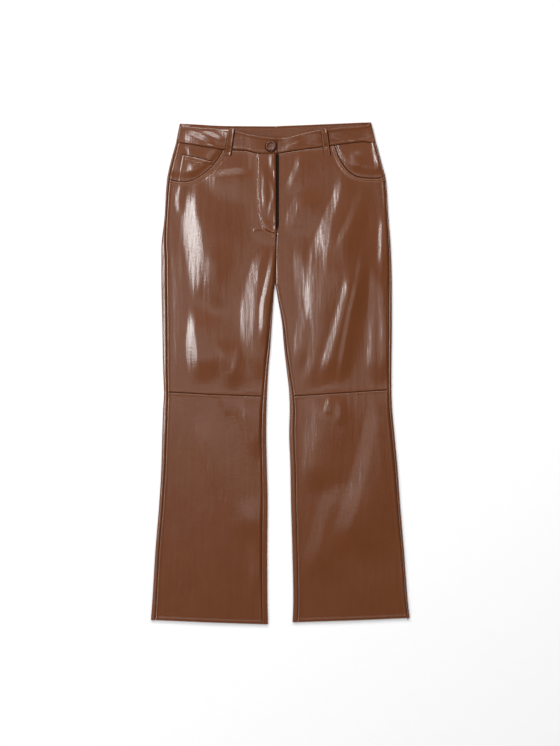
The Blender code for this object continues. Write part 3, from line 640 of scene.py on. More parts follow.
def mouth_at(side, shares):
    """x and up of the pocket's mouth, at shares of the panel's width."""
    rows = {"share": MOUTH_SHARES, **MOUTH[side]}
    return [smooth(rows, "share", column, shares) for column in ("x", "up")]


def mouth_line(side):
    return np.stack(mouth_at(side, np.linspace(0, MOUTH_SHARES[-1], 150)), axis=1)


def waist_up(side, x):
    return straight(WAIST_SEAM[side], "x", "up", x)


def waist_line(side):
    places = WAIST_SEAM[side]["x"]
    xs = np.linspace(places[0], places[-2], 300)
    return np.stack((xs, waist_up(side, xs)), axis=1)


def seam_relief(distance, rise=SEAM_RISE):
    """A seam's groove and the low ridge over its turned-in edges."""
    return ridges(((rise, *SEAM_RIDGE), *SEAM_GROOVE), distance)


def fly_inside(x, up):
    """How far inside the fly's curved stitching a point lies."""
    line = curve(FLY_EDGE, 2.0)
    edge_x = np.interp(up, line[::-1, 1], line[::-1, 0])
    inside = (x > edge_x) & (up > line[-1, 1])
    return np.where(inside, 1, -1) * distance_to(line, x, up)


def fly_relief(x, up):
    """The cloth rises over a hand's breadth, and by a small step at the stitching."""
    found = np.zeros(np.shape(x))
    near = (x > FLY_EDGE[0][0] - 40) & (up > FLY_EDGE[-1][1] - 40)
    inside = fly_inside(x[near], up[near])
    found[near] = FLY_PUFF * ease((inside + 30) / 32) + (FLY_RISE - FLY_PUFF) * ease((inside + 1.5) / 3)
    return found


def face_height(side, x, up):
    """The upper face of a front panel."""
    from_side = np.abs(x - side_seam(side, up))
    from_centre = np.abs(x - inseam(side, up))
    folds = fold_relief(FOLDS, side, x, up) * ease(from_side / 5) * ease(from_centre / 5)
    height = plain_height(side, x, up) + folds
    height += seam_relief(from_side)
    inseam_rise = np.where(up > CROTCH, 0.05, 0.25)
    height += np.where(up < VALLEY_TOP + 20, seam_relief(from_centre, inseam_rise), 0.0)
    if side == "right":
        height += fly_relief(*np.broadcast_arrays(x, up))
        height += ridges(FLY_RIDGE, from_centre) * ease((up - FLY_FOOT) / 8)
    height += ridges(MOUTH_RIDGES, distance_to(mouth_line(side), x, up))
    height += seam_relief(distance_to(waist_line(side), x, up), 0.2)
    return height


def placed(x, up, z):
    """Points in metres, with the middle of the length at the origin."""
    return np.stack(np.broadcast_arrays(x, up - LENGTH / 2, z), axis=-1) * MM


def linked(name, data):
    made = bpy.data.objects.new(name, data)
    bpy.context.scene.collection.objects.link(made)
    return made


def mesh_object(name, verts, faces, material, smooth_angle=45):
    mesh = bpy.data.meshes.new(name)
    mesh.from_pydata(verts, [], faces)
    mesh.update()
    mesh.shade_smooth()
    mesh.set_sharp_from_angle(angle=math.radians(smooth_angle))
    mesh.materials.append(material)
    piece = linked(name, mesh)
    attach(piece, "root")
    return piece


def shell(name, face, wall, inward, material, behind=None):
    """A closed thin wall: a grid of face points, and the grid behind it."""
    rows, columns = face.shape[:2]
    if behind is None:
        along = np.gradient(face, axis=0)
        across = np.gradient(face, axis=1)
        normal = np.cross(across, along)
        normal /= np.linalg.norm(normal, axis=2, keepdims=True)
        behind = face + normal * inward * wall * MM
    points = np.concatenate((face.reshape(-1, 3), behind.reshape(-1, 3)))
    k = np.arange(rows * columns).reshape(rows, columns)
    a, b, c, d = k[:-1, :-1].ravel(), k[:-1, 1:].ravel(), k[1:, 1:].ravel(), k[1:, :-1].ravel()
    front = np.stack((a, b, c, d), axis=1)
    far = rows * columns
    back = front[:, ::-1] + far
    edge = np.concatenate((k[0, :], k[1:, -1], k[-1, -2::-1], k[-2:0:-1, 0]))
    after = np.roll(edge, -1)
    rim = np.stack((after, edge, edge + far, after + far), axis=1)
    faces = np.concatenate((front, back, rim))
    if inward > 0:
        faces = faces[:, ::-1]
    return mesh_object(name, points.tolist(), faces.tolist(), material)


def steps(length, plain, fine=(0.0, 0.6, 1.2, 1.9, 2.7, 3.7, 5.0, 6.6)):
    """Shares of a length, close together near both ends."""
    fine = np.array(fine)
    middle = np.linspace(fine[-1], length - fine[-1], max(2, int((length - 2 * fine[-1]) / plain)))[1:-1]
    return np.concatenate((fine, middle, (length - fine)[::-1])) / length


def front_grid(side, up, shares):
    """Places of a front panel's points, between its seams."""
    sign = SIDES[side]
    start = side_seam(side, up) - sign * SEAM / 2
    end = inseam(side, up) + np.where(up >= CROTCH, 0.0, sign * SEAM / 2)
    return lerp(start, end, shares)


def across_line(line, side, shares):
    return straight(line, "across", side, shares)


def front_thigh(side):
    mouth = MOUTH[side]
    mouth_end = MOUTH_SHARES[-1]
    fine = 1 - np.arange(8.0, FLY_FINE, 1.0) / THIGH_WIDTH
    shares = np.unique(np.concatenate((steps(THIGH_WIDTH, PLAIN_STEP), fine, [mouth_end])).round(5))
    past = np.clip((shares - mouth_end) / (1 - mouth_end), 0, 1)
    on_mouth = shares <= mouth_end
    edge_x, edge_up = mouth_at(side, shares)
    top_x = np.where(on_mouth, edge_x, lerp(mouth["x"][-1], CENTRE[side][-1], past))
    top_up = np.where(on_mouth, edge_up, waist_up(side, top_x))
    start, end = side_seam(side, top_up), inseam(side, top_up)
    top_share = np.clip((top_x - start) / (end - start), 0, 1)
    top_share[[0, -1]] = 0, 1
    rows = steps(THIGH_HEIGHT, PLAIN_STEP)[:, None]
    nominal = lerp(THIGH_SIDES[0], THIGH_SIDES[-1], rows)
    side_up = lerp(KNEE[side][0], mouth["up"][0], rows)
    centres = (KNEE[side][-1], *THIGH_CENTRES[1:-1], top_up[-1])
    inner_up = smooth({"side": THIGH_SIDES, "centre": centres}, "side", "centre", nominal)
    high = ease((nominal - CROTCH_SIDE) / (THIGH_SIDES[-1] - CROTCH_SIDE))
    low = 1 - ease((nominal - THIGH_SIDES[0]) / (CROTCH_SIDE - THIGH_SIDES[0]))
    across = lerp(shares, top_share, high)
    at_top = top_up - lerp(top_up[0], top_up[-1], top_share)
    at_knee = across_line(KNEE, side, across) - lerp(KNEE[side][0], KNEE[side][-1], across)
    up = lerp(side_up, inner_up, across) + at_top * high**2 + at_knee * low
    up[0] += SEAM / 2
    x = front_grid(side, up, across)
    height = face_height(side, x, up) + seam_relief(up - across_line(KNEE, side, across), 0.12)
    return placed(x, up, height)


def front_lower(side):
    shares = steps(LOWER_WIDTH, PLAIN_STEP)
    rows = steps(LOWER_HEIGHT, PLAIN_STEP)[:, None]
    hem, knee = across_line(HEM, side, shares), across_line(KNEE, side, shares) - SEAM / 2
    up = lerp(hem, knee, rows)
    x = front_grid(side, up, shares)
    height = face_height(side, x, up) + seam_relief(knee - up, 0.12)
    from_hem = up - hem
    height += ridges(HEM_RIDGES, from_hem) - edge_drop(HEM_ROLL, from_hem)
    return placed(x, up, height)


def round_edge(edge, inward, up, seam_in):
    """Points from under a leg, round its edge and up to the seam on its upper face."""
    quarter = math.pi / 2
    low = float(underside(up))
    radius = (float(upper(up)) - low) / 2
    climb = quarter if seam_in >= radius else math.acos(np.clip(1 - seam_in / radius, 0, 1))
    arc = radius * (quarter + climb) + max(seam_in - radius, 0.0)
    rounded = min(radius * 2 * quarter, arc - 0.8)
    travelled = np.concatenate((rounded * EDGE_SHARES, lerp(rounded, arc, STRIP_SHARES)))
    angle = travelled / radius - quarter
    turning = angle <= quarter
    depth = np.where(turning, radius * (1 - np.cos(angle)), radius + travelled - radius * 2 * quarter)
    z = np.where(turning, low + radius * (1 + np.sin(angle)), low + 2 * radius)
    z += 0.8 * seam_relief(arc - travelled) * ease(travelled / arc * 3 - 1.5)
    return np.stack((edge + inward * depth, z), axis=1)


def back_section(side, side_up, inner_up):
    """One row of a back panel, round from the side seam, under the leg, to the inseam."""
    sign = SIDES[side]
    inset = float(side_inset(side, side_up)) - SEAM / 2
    outer = round_edge(float(outer_edge(side, side_up)), -sign, side_up, inset)[::-1]
    if inner_up < CROTCH:
        inset = float(inseam_inset(side, inner_up)) - SEAM / 2
        inner = round_edge(float(inner_edge(side, inner_up)), sign, inner_up, inset)
    else:
        centre = lerp(CENTRE_BACK, CROTCH_BACK, float(ease((VALLEY_TOP - inner_up) / SEAT_RUN)))
        count = len(EDGE_SHARES) + len(STRIP_SHARES)
        away = SEAT_SPREAD * np.linspace(1, 0, count) ** 1.5
        level = np.full(count, float(underside(inner_up)))
        inner = np.stack((centre + sign * (SEAM / 2 + away), level), axis=1)
    shares = np.linspace(0, 1, BACK_COLUMNS)[1:-1]
    under_x = lerp(outer[-1, 0], inner[0, 0], shares)
    under_up = lerp(side_up, inner_up, shares)
    under_z = underside(under_up) + fold_relief(BACK_FOLDS, side, under_x, under_up)
    under = np.stack((under_x, under_z), axis=1)
    ups = np.concatenate((np.full(len(outer), side_up), under_up, np.full(len(inner), inner_up)))
    section = np.concatenate((outer, under, inner))
    return np.stack((section[:, 0], ups, section[:, 1]), axis=1)


def bowed(row, line, column, offset):
    """A row laid along a bowed line, such as a hem."""
    share = np.clip((row[:, 0] - row[0, 0]) / (row[-1, 0] - row[0, 0]), 0, 1)
    row[:, 1] = straight(line, "across", column, share) + offset


def back_thigh(side):
    waist = WAIST_SEAM[side]["up"][0]
    rows = []
    for share in steps(BACK_HEIGHT, BACK_STEP, BACK_FINE):
        nominal = lerp(BACK_SIDES[0], BACK_SIDES[-1], share)
        side_up = lerp(KNEE[side][0], waist, share)
        inner_up = float(smooth({"side": BACK_SIDES, "centre": BACK_CENTRES}, "side", "centre", nominal))
        rows.append(back_section(side, side_up, inner_up))
    bowed(rows[0], KNEE, side, SEAM / 2)
    bowed(rows[-1], BACK_BAND, side + "_seam", -SEAM)
    return placed(*np.moveaxis(np.array(rows), -1, 0))


def back_lower(side):
    hem = [HEM[side][0], HEM[side][-1]]
    knee = [KNEE[side][0] - SEAM / 2, KNEE[side][-1] - SEAM / 2]
    rows = [
        back_section(side, lerp(hem[0], knee[0], share), lerp(hem[1], knee[1], share))
        for share in steps(LOWER_HEIGHT, BACK_STEP, BACK_FINE)
    ]
    bowed(rows[0], HEM, side, 0.0)
    bowed(rows[-1], KNEE, side, -SEAM / 2)
    return placed(*np.moveaxis(np.array(rows), -1, 0))


def band_height(side, x, up):
    """The waistband's front face, which leans up towards its top edge."""
    lift = OVERLAP_LIFT * ease((x + 112) / 68) if side == "right" else 0.0
    tilt = np.interp(x, *zip(*BAND_LEAN)) * ease(np.abs(x - WAIST_SEAM[side]["x"][0]) / 30)
    lean = tilt * (up - waist_up(side, x) - 14)
    return BAND_LEVEL + lift + lean + fold_relief(BAND_FOLDS, side, x, up)


def waistband(side):
    """Half of the waistband, from its front end round the side to the centre back."""
    sign = SIDES[side]
    seam, top = WAIST_SEAM[side], BAND_TOP[side]
    radius = (BAND_LEVEL - BAND_UNDERSIDE) / 2
    end = OVERLAP_END if side == "right" else UNDERLAP_END
    turn = seam["x"][0] - sign * radius
    high_turn = top["x"][0] - sign * radius
    shares = steps(BAND_DEPTH, BAND_STEP, (*BAND_FINE, 3.6))[:, None]
    x = lerp(end, turn, steps(abs(turn - end), BAND_STEP, BAND_FINE))
    from_end = np.abs(x - end)
    high_x = lerp(high_turn, x, np.clip((x - turn) / (end - turn), 0, 1))
    low_up = waist_up(side, x) + SEAM
    high_up = smooth(top, "x", "up", high_x)
    if side == "right":
        high_up = high_up - edge_drop(OVERLAP_CORNER, from_end)
    front_x, front_up = lerp(x, high_x, shares), lerp(low_up, high_up, shares)
    low_in, high_in = front_up - low_up, high_up - front_up
    drop = edge_drop(BAND_ROLL, np.minimum(low_in, high_in)) + edge_drop(BAND_ROLL, from_end)
    front_z = band_height(side, front_x, front_up) - drop
    front_z += ridges(BAND_RIDGES, low_in) + ridges(BAND_RIDGES, high_in)
    angle = math.pi * (0.5 - np.arange(1, 12) / 12)
    back = np.arange(1, 12) / 12
    round_x = lerp(seam["x"][0], top["x"][0], shares) - sign * radius * (1 - np.cos(angle))
    round_low = lerp(low_up[-1], BACK_BAND[side + "_seam"][0] + SEAM, back)
    round_high = lerp(high_up[-1], top["up"][0], ease(back * 2))
    round_up = lerp(round_low, round_high, shares)
    round_in = np.minimum(round_up - round_low, round_high - round_up)
    edge = edge_drop(BAND_ROLL, round_in)
    round_x = round_x - sign * edge * np.cos(angle)
    round_z = BAND_UNDERSIDE + radius * (1 + np.sin(angle)) - edge * np.sin(angle)
    across = np.linspace(0, 1, 90)
    back_low = straight(BACK_BAND, "across", side + "_seam", across) + SEAM
    back_high = smooth(BACK_BAND, "across", side + "_top", across)
    middle = CENTRE_BACK + sign * SEAM / 2
    back_x = lerp(lerp(turn, middle, across), lerp(high_turn, middle, across), shares)
    back_up = lerp(back_low, back_high, shares)
    back_in = np.minimum(back_up - back_low, back_high - back_up)
    back_edge = edge_drop(BAND_ROLL, back_in)
    lean = INSIDE_LEAN * np.maximum(back_up - INSIDE_BEND, 0) * ease(across * 10)
    fronts = placed(front_x, front_up, front_z)
    rounds = placed(round_x, round_up, round_z)
    backs = placed(back_x, back_up, BAND_UNDERSIDE + back_edge + lean)
    behind_front = placed(front_x, front_up, front_z + 2 * drop - BAND_CLOTH)
    scale = (radius - BAND_CLOTH + 2 * edge) / (radius - edge)
    axis_x = lerp(turn, high_turn, shares)
    axis_z = BAND_UNDERSIDE + radius
    inner_x = axis_x + (round_x - axis_x) * scale
    behind_round = placed(inner_x, round_up, axis_z + (round_z - axis_z) * scale)
    inside = ridges(INSIDE_RIDGES, back_high - back_up)
    behind_back = placed(back_x, back_up, BAND_UNDERSIDE + BAND_CLOTH - back_edge + inside + lean)
    face = np.concatenate((fronts, rounds, backs), axis=1)
    return face, np.concatenate((behind_front, behind_round, behind_back), axis=1)


def mouth_up(side, x):
    sign = SIDES[side]
    mouth = MOUTH[side]
    past = (x - mouth["x"][-1]) * sign <= 0
    return np.where(past, waist_up(side, x), smooth(mouth, "x", "up", x))


def facing_height(side, x, up):
    drop = FACING_DROP * (1 - ease((up - mouth_up(side, x) - MOUTH_LIP) / MOUTH_SOFT))
    folds = fold_relief(FOLDS, side + "_facing", x, up)
    from_seam = np.abs(x - side_seam(side, up))
    return plain_height(side, x, up) - drop + folds * ease(from_seam / 4) + seam_relief(from_seam)


def pocket_facing(side):
    sign = SIDES[side]
    mouth = MOUTH[side]
    columns = np.linspace(0, 1, 84)
    last = mouth["x"][-1] - sign * 14
    nominal = lerp(mouth["x"][0], last, columns)
    seam_top = side_seam(side, WAIST_SEAM[side]["up"][0])
    top_x = np.minimum(nominal * sign, seam_top * sign - FACING_TUCK * columns) * sign
    waist = waist_up(side, top_x) - SEAM
    edge = np.minimum(mouth_up(side, nominal), waist - 3.0)
    rows = np.concatenate((np.linspace(0, 0.14, 5)[:-1], np.linspace(0.14, 1, 46)))[:, None]
    up = lerp(edge - UNDER_MOUTH, waist, rows)
    seam = side_seam(side, up) - sign * SEAM / 2
    x = np.minimum(nominal * sign, seam * sign - FACING_TUCK * columns) * sign
    return placed(x, up, facing_height(side, x, up))


def coin_pocket():
    side = "right"
    rows = steps(COIN_HEIGHT, 1.5, COIN_FINE)[:, None]
    columns = steps(COIN_WIDTH, 1.5, COIN_FINE)
    start = lerp(COIN_TOP["x"][0] + COIN_SLANT, COIN_TOP["x"][0], rows)
    x = lerp(start, COIN_TOP["x"][-1], columns)
    low = mouth_up(side, x) + 1.2
    top = straight(COIN_TOP, "x", "up", x)
    up = lerp(low, top, rows)
    from_edge = x - start
    from_top = top - up
    rise = ridges(COIN_SIDE_RIDGES, from_edge) + ridges(COIN_TOP_RIDGES, from_top)
    rise -= edge_drop(COIN_ROLL, np.minimum(from_edge, from_top))
    return placed(x, up, facing_height(side, x, up) + 2 * SEAM + POCKET_CLOTH + rise)


def front_loop(side):
    x_top, up_top, x_bottom, up_bottom = FRONT_LOOPS[side]
    waist = float(waist_up(side, x_bottom))
    rows = steps(up_top - up_bottom, 1.4, (*LOOP_FINE, 2.0))[:, None]
    up = lerp(up_bottom, up_top, rows)
    across = LOOP_WIDTH * (steps(LOOP_WIDTH, 0.9, (0.0, 0.3, 0.7, 1.2)) - 0.5)
    x = lerp(x_bottom, x_top, rows) + across
    grid = lerp(x_bottom, x_top, rows) + LOOP_WIDTH * np.linspace(-0.5, 0.5, 5)
    under = band_height(side, grid, np.maximum(up, waist)).max(axis=1, keepdims=True)
    below = ease((waist - up) / 5.0)
    swell = LOOP_SWELL * ease((up - waist) / LOOP_REST) * ease((up_top - up) / LOOP_REST)
    from_side = LOOP_WIDTH / 2 - np.abs(across)
    from_end = np.minimum(up - up_bottom, up_top - up)
    rise = ridges(LOOP_SIDE_RIDGES, from_side) + ridges(LOOP_END_RIDGES, from_end)
    rise = rise - 0.5 * edge_drop(LOOP_ROLL, from_side) - edge_drop(LOOP_ROLL, from_end)
    return placed(x, up, under - 0.8 * below + SEAM + LOOP_CLOTH + swell + rise)


def back_loop(middle):
    rows = steps(BACK_LOOP_TOP - BACK_LOOP_FOOT, 2.0, LOOP_FINE)[:, None]
    across = LOOP_WIDTH * (steps(LOOP_WIDTH, 1.2, LOOP_FINE) - 0.5)
    up = lerp(BACK_LOOP_FOOT, BACK_LOOP_TOP, rows)
    from_end = np.minimum(up - BACK_LOOP_FOOT, BACK_LOOP_TOP - up)
    inner = np.minimum(LOOP_WIDTH / 2 - np.abs(across), from_end)
    return placed(middle + across + 0 * rows, up, edge_drop(BACK_LOOP_ROLL, inner))


def build_cloth(brown):
    """Every piece of the coated cloth, by name."""
    cloth = {}

    def build(name, face, wall, inward, behind=None):
        cloth[name] = shell(name, face, wall, inward, brown, behind)

    for side, sign in SIDES.items():
        build("front_thigh_" + side, front_thigh(side), CLOTH, sign)
        build("front_lower_" + side, front_lower(side), CLOTH, sign)
        build("back_thigh_" + side, back_thigh(side), CLOTH, -sign)
        build("back_lower_" + side, back_lower(side), CLOTH, -sign)
        face, behind = waistband(side)
        build("waistband_" + side, face, BAND_CLOTH, -sign, behind)
        build("pocket_facing_" + side, pocket_facing(side), CLOTH, sign)
    build("coin_pocket", coin_pocket(), POCKET_CLOTH, -1)
    for side in FRONT_LOOPS:
        build("belt_loop_front_" + side, front_loop(side), LOOP_CLOTH, -1)
    for place, away in (("right", -1), ("centre", 0), ("left", 1)):
        face = back_loop(CENTRE_BACK + away * BACK_LOOP_SPREAD)
        build("belt_loop_back_" + place, face, BACK_LOOP_CLOTH, 1)
    return cloth


def on_front(side, line):
    x, up = line[:, 0], line[:, 1]
    return np.stack((x, up, face_height(side, x, up)), axis=1)


def stitches(name, lines, material, pitch, length, radius):
    """Rounded stitches of thread, sunk a little at their ends, along lines of points in millimetres."""
    verts, faces = [], []
    around = np.linspace(0, 2 * math.pi, 6, endpoint=False)
    for line in lines:
        along = np.concatenate(([0.0], np.cumsum(np.linalg.norm(np.diff(line, axis=0), axis=1))))
        for start in np.arange(0.4, along[-1] - length, pitch):
            at = start + length * np.array([0.0, 0.14, 0.5, 0.86, 1.0])
            spine = np.stack([np.interp(at, along, line[:, j]) for j in range(3)], axis=1)
            spine[:, 2] += np.array([-0.25, 0.05, 0.16, 0.05, -0.25])
            ahead = spine[-1] - spine[0]
            sideways = np.array([-ahead[1], ahead[0], 0.0]) / math.hypot(ahead[0], ahead[1])
            upwards = np.array([0.0, 0.0, 1.0])
            turned = np.cos(around)[:, None] * sideways + np.sin(around)[:, None] * upwards
            first = len(verts)
            for point, share in zip(spine, (0.25, 0.85, 1.0, 0.85, 0.25)):
                verts += placed(*(point + radius * share * turned).T).tolist()
            for r in range(4):
                for j in range(6):
                    a, b = first + 6 * r + j, first + 6 * r + (j + 1) % 6
                    faces.append((a, b, b + 6, a + 6))
            faces.append(tuple(first + j for j in range(5, -1, -1)))
            faces.append(tuple(first + 24 + j for j in range(6)))
    mesh_object(name, verts, faces, material, 80)


def lathe(name, profile, centre, material, count=72):
    """A turned piece: (radius, height) points in millimetres, from the top's middle to the foot's."""
    profile = curve(profile, 0.25)
    angles = np.linspace(0, 2 * math.pi, count, endpoint=False)
    x, up, base = centre
    rings = [
        placed(x + r * np.cos(angles), up + r * np.sin(angles), base + z + 0 * angles)
        for r, z in profile[1:-1]
    ]
    verts = [placed(x, up, base + profile[0, 1]).tolist()]
    verts += np.concatenate(rings).tolist()
    verts.append(placed(x, up, base + profile[-1, 1]).tolist())
    faces = [(0, 1 + j, 1 + (j + 1) % count) for j in range(count)]
    for r in range(len(rings) - 1):
        for j in range(count):
            a, b = 1 + r * count + j, 1 + r * count + (j + 1) % count
            faces.append((a, a + count, b + count, b))
    last = len(verts) - 1
    first = last - count
    faces += [(last, first + (j + 1) % count, first + j) for j in range(count)]
    return mesh_object(name, verts, faces, material, 60)


def fill(tree, node, **values):
    """Sets a node's values and sockets by name, or links a socket where the value is one."""
    for name, value in values.items():
        if hasattr(node, name):
            setattr(node, name, value)
            continue
        socket = node.inputs[name.replace("_", " ")]
        if isinstance(value, bpy.types.NodeSocket):
            tree.links.new(value, socket)
        else:
            socket.default_value = value
    return node


def add(tree, kind, **values):
    return fill(tree, tree.nodes.new("ShaderNode" + kind), **values)


def blend(tree, share, low, high):
    """A colour between low and high, by a noise's value."""
    ramp = add(tree, "ValToRGB", Fac=share)
    for stop, colour, place in zip(ramp.color_ramp.elements, (low, high), (0.3, 0.7)):
        stop.color = (*colour, 1)
        stop.position = place
    return ramp.outputs["Color"]


def new_material(name):
    """A material, its nodes, its shader and the object's own coordinates."""
    made = bpy.data.materials.new(name)
    made.use_nodes = True
    tree = made.node_tree
    return made, tree, tree.nodes["Principled BSDF"], add(tree, "TexCoord").outputs["Object"]


def leather(name, colour, rough):
    """Coated cloth: uneven colour and gloss, a fine grain, and a soft unevenness."""
    made, tree, shader, place = new_material(name)
    mottle = add(tree, "TexNoise", Vector=place, Scale=16.0, Detail=4.0, Roughness=0.6)
    tones = [tuple(c * share for c in colour) for share in MOTTLE]
    tree.links.new(blend(tree, mottle.outputs["Fac"], *tones), shader.inputs["Base Color"])
    sheen = add(tree, "TexNoise", Vector=place, Scale=22.0, Detail=2.0)
    spread = add(tree, "MapRange", Value=sheen.outputs["Fac"], From_Min=0.25, From_Max=0.75)
    for end, away in zip(("To Min", "To Max"), GLOSS_SPREAD):
        spread.inputs[end].default_value = rough + away
    tree.links.new(spread.outputs["Result"], shader.inputs["Roughness"])
    grain = add(tree, "TexVoronoi", Vector=place, Scale=1500.0, feature="SMOOTH_F1", Smoothness=0.6)
    fine = add(tree, "Bump", Height=grain.outputs["Distance"], Strength=0.06, Distance=0.0001)
    normal = fine.outputs["Normal"]
    for stretch, depth in RELIEFS:
        mapped = add(tree, "Mapping", Vector=place, Scale=stretch)
        noise = add(tree, "TexNoise", Vector=mapped.outputs["Vector"], Scale=1.0, Detail=2.0)
        bumped = add(tree, "Bump", Height=noise.outputs["Fac"], Strength=1.0, Distance=depth, Normal=normal)
        normal = bumped.outputs["Normal"]
    tree.links.new(normal, shader.inputs["Normal"])
    return made


def plain(name, colour, rough, scale, strength, uneven=0.1, gleam=0.5):
    """Thread, tape, button, floor or the strips of painted shade: a slightly uneven colour and a fine relief.
    """
    made, tree, shader, place = new_material(name)
    noise = add(tree, "TexNoise", Vector=place, Scale=scale, Detail=3.0)
    low = tuple(c * (1 - uneven) for c in colour)
    high = tuple(min(1.0, c * (1 + uneven)) for c in colour)
    tree.links.new(blend(tree, noise.outputs["Fac"], low, high), shader.inputs["Base Color"])
    fill(tree, shader, Roughness=rough, Specular_IOR_Level=gleam)
    relief = add(tree, "Bump", Height=noise.outputs["Fac"], Strength=strength, Distance=0.0002)
    tree.links.new(relief.outputs["Normal"], shader.inputs["Normal"])
    return made


def panel_light(name, place, size, power, aim=None):
    """A soft light that shines straight down, or at aim."""
    data = bpy.data.lights.new(name, "AREA")
    data.shape = "RECTANGLE"
    data.size, data.size_y = size
    data.energy = power
    light = linked(name, data)
    light.location = place
    if aim is not None:
        light.rotation_euler = (Vector(aim) - Vector(place)).to_track_quat("-Z", "Y").to_euler()
    light.visible_camera = False


def studio():
    scene = bpy.context.scene
    scene.view_settings.view_transform = "Standard"
    world = bpy.data.worlds.new("studio")
    world.use_nodes = True
    sky = world.node_tree.nodes["Background"]
    sky.inputs["Color"].default_value = (1, 1, 1, 1)
    sky.inputs["Strength"].default_value = WORLD
    scene.world = world
    camera_data = bpy.data.cameras.new("camera")
    camera_data.lens = LENS
    camera_data.sensor_width = 36
    camera = linked("camera", camera_data)
    camera.location = CAMERA_AT
    scene.camera = camera
    for light in LIGHTS:
        panel_light(*light)
    for angle, power in FILLS:
        turn = math.radians(angle)
        place = (FILL_AWAY * math.cos(turn), FILL_AWAY * math.sin(turn), FILL_UP)
        panel_light(f"fill_{angle}", place, FILL_SIZE, power, aim=(0, 0, 0))
    floor_mesh = bpy.data.meshes.new("floor")
    signs = ((-1, -1), (1, -1), (1, 1), (-1, 1))
    corners = [(i * FLOOR_HALF, j * FLOOR_HALF, FLOOR_LEVEL) for i, j in signs]
    floor_mesh.from_pydata(corners, [], [(0, 1, 2, 3)])
    floor_mesh.materials.append(plain("floor", PALE, 0.9, 40.0, 0.0, uneven=0.004))
    linked("floor", floor_mesh)


def ribbon(name, lines, material, width, thick=0.25):
    """Thin strips along lines of points in millimetres, such as a seam's line of painted shade."""
    verts, faces = [], []
    below = np.array([0, 0, -thick])
    for line in lines:
        ahead = directions(line)
        aside = np.stack((-ahead[:, 1], ahead[:, 0], 0 * ahead[:, 0]), axis=1) * width / 2
        first = len(verts)
        edges = (line - aside, line + aside, line + aside + below, line - aside + below)
        verts += placed(*np.stack(edges, axis=1).reshape(-1, 3).T).tolist()
        for r in range(len(line) - 1):
            for j in range(4):
                a, b = first + 4 * r + j, first + 4 * r + (j + 1) % 4
                faces.append((a, a + 4, b + 4, b))
        last = first + 4 * (len(line) - 1)
        faces += [(first, first + 1, first + 2, first + 3), (last + 3, last + 2, last + 1, last)]
    mesh_object(name, verts, faces, material)


def painted_shade_line(kind, name, x, up, z, dark):
    """One line of painted shade over places on the cloth."""
    lift, width = PAINTED_SHADE_STRIPS[kind]
    ribbon(name, [np.stack((x, up, z + lift), axis=1)], dark, width)


def loop_shadows(side, dark):
    """The dark lines beside a front belt loop, the wider one on its far side from the light."""
    x_top, up_top, x_bottom, up_bottom = FRONT_LOOPS[side]
    up = np.linspace(up_bottom - 0.5, up_top - 4, 40)
    middle = lerp(x_bottom, x_top, (up - up_bottom) / (up_top - up_bottom))
    for kind, away in (("near", -1), ("far", 1)):
        x = middle + away * (LOOP_WIDTH / 2 + PAINTED_SHADE_STRIPS[kind][1] / 2 - 0.1)
        on_band = up > waist_up(side, x)
        level = np.where(on_band, band_height(side, x, up), face_height(side, x, up))
        painted_shade_line(kind, f"loop_shadow_{side}_{kind}", x, up, level, dark)


def lay_painted_shade(dark):
    """Painted shade: dark strips laid over the cloth down in each seam, under the edges, beside what is sewn
    on top and round the button.
    """
    for side, sign in SIDES.items():
        x, up = waist_line(side)[3:-3].T
        rise = fly_relief(x, up) if side == "right" else 0.0
        painted_shade_line("waist", "painted_shade_waist_" + side, x, up, plain_height(side, x, up) + rise, dark)
        shares = np.linspace(0.004, 0.996, 120)
        up = across_line(KNEE, side, shares)
        x = front_grid(side, up, shares)
        painted_shade_line("knee", "painted_shade_knee_" + side, x, up, face_height(side, x, up), dark)
        up = np.linspace(9.0, MOUTH[side]["up"][0] - 2, 300)
        inner_up = np.linspace(13.0 if side == "left" else 9.0, CROTCH - 4, 240)
        lift, width = PAINTED_SHADE_STRIPS["legs"]
        lines = []
        for at, edge in ((up, side_seam(side, up)), (inner_up, inseam(side, inner_up))):
            lines.append(np.stack((edge, at, face_height(side, edge, at) + lift), axis=1))
        ribbon("painted_shade_legs_" + side, lines, dark, width)
        x, up = beside(mouth_line(side), -sign * 0.9).T
        painted_shade_line("mouth", "pocket_mouth_shadow_" + side, x, up, facing_height(side, x, up), dark)
    up = np.linspace(CROTCH + 3, 760.0, 60)
    x = (inner_edge("right", up) + inner_edge("left", up)) / 2
    painted_shade_line("crotch", "painted_shade_crotch", x, up, face_height("right", x, up), dark)
    x, up = curve(FLY_MIDDLE, 1.0).T
    painted_shade_line("fly", "painted_shade_fly_line", x, up, face_height("right", x, up), dark)
    x = np.linspace(COIN_TOP["x"][0] - 0.5, COIN_TOP["x"][-1] - 1, 40)
    up = straight(COIN_TOP, "x", "up", x) + 0.6
    painted_shade_line("coin", "coin_pocket_shadow", x, up, facing_height("right", x, up), dark)
    for side in FRONT_LOOPS:
        loop_shadows(side, dark)
    around = np.linspace(0, 2 * math.pi, 60)
    x = BUTTON_AT[0] + 0.5 + BUTTON_RADIUS * np.cos(around)
    up = BUTTON_AT[1] - 0.6 + BUTTON_RADIUS * np.sin(around)
    level = band_height("right", x, up)
    painted_shade_line("button", "button_shadow", x[:-1], up[:-1], level[:-1], dark)


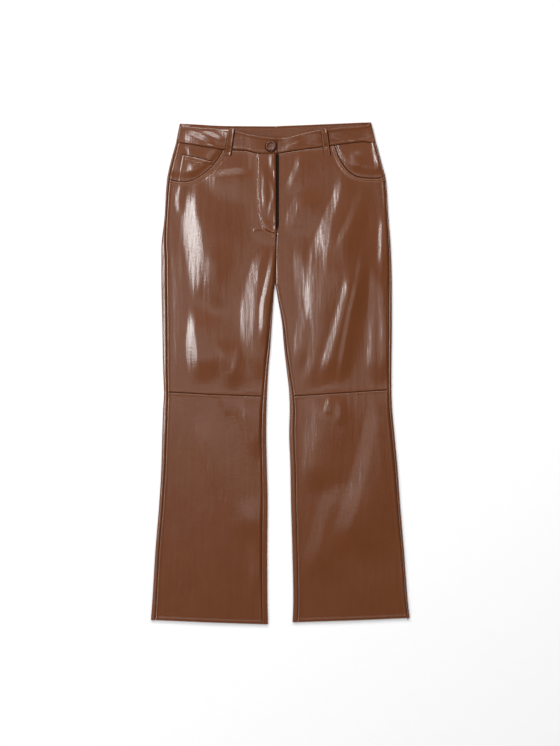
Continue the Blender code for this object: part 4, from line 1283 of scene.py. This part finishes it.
def sewing(thread):
    """The visible rows of stitches, and the fly's bartacks."""
    for side, sign in SIDES.items():
        lines = [on_front(side, beside(mouth_line(side), away * sign)) for away in (2.2, 6.2)]
        stitches("stitches_mouth_" + side, lines, thread, *TOPSTITCH)
    lines = [on_front("right", curve(path, 1.0)) for path in FLY_STITCHES]
    stitches("stitches_fly", lines, thread, *TOPSTITCH)
    tacks = [((TACK_X[0], up + 0.6), (TACK_X[1], up)) for up in TACK_UP]
    lines = [on_front("right", curve(ends, 1.0)) for ends in tacks]
    stitches("stitches_bartacks", lines, thread, *BARTACK)
    to_hem = np.array([0, LENGTH / 2, 0])
    pocket = coin_pocket() / MM + to_hem
    lines = [pocket[-6, 4:-2], pocket[-8, 4:-2], pocket[3:-3, 5]]
    stitches("stitches_coin_pocket", lines, thread, *COIN_STITCH)
    lines = []
    for side in FRONT_LOOPS:
        loop = front_loop(side) / MM + to_hem
        lines += [loop[2:-3, 3], loop[2:-3, -4]]
    stitches("stitches_loops", lines, thread, *LOOP_STITCH)


def zip_strip():
    """The zip's tape, under the fronts on both sides of the centre."""
    up = lerp(*ZIP_UP, np.linspace(0, 1, 100))[:, None]
    x = lerp(*ZIP_X, np.linspace(0, 1, 40))
    right = plain_height("right", np.minimum(x, CENTRE_BACK) + 0 * up, up)
    left = plain_height("left", np.maximum(x, CENTRE_BACK) + 0 * up, up)
    return placed(x + 0 * up, up, np.where(x < CENTRE_BACK, right, left) - FACING_DROP)


cloth = build_cloth(leather("faux_leather", BROWN, LEATHER_ROUGH))
thread = plain("thread", THREAD, 0.6, 3000.0, 0.4)
# The zip tape is near black: its own dark colour together with painted shade for the deep slot beside the
# fly.
tape = plain("zip_tape", TAPE_AND_SLOT_SHADE, 0.85, 2500.0, 0.5, gleam=0.1)
gloss = plain("button", GLOSS, 0.24, 300.0, 0.05)
for name, piece in cloth.items():
    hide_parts(name)
zip_piece = shell("fly_zip_tape", zip_strip(), TAPE_CLOTH, -1, tape)
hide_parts("fly_zip")
cloth["fly_zip"] = zip_piece
button_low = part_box("button")[0].z / MM
button = lathe("round_button", BUTTON, (*BUTTON_AT, button_low), gloss)
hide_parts("button")
# Painted shade: matte near-black strips over the seams, the fly's pressed line, the loops' sides, the pocket
# edges and round the button.
lay_painted_shade(plain("painted_shade_material", PAINTED_SHADE_COLOUR, 0.9, 2500.0, 0.3, gleam=0.05))
sewing(thread)
studio()
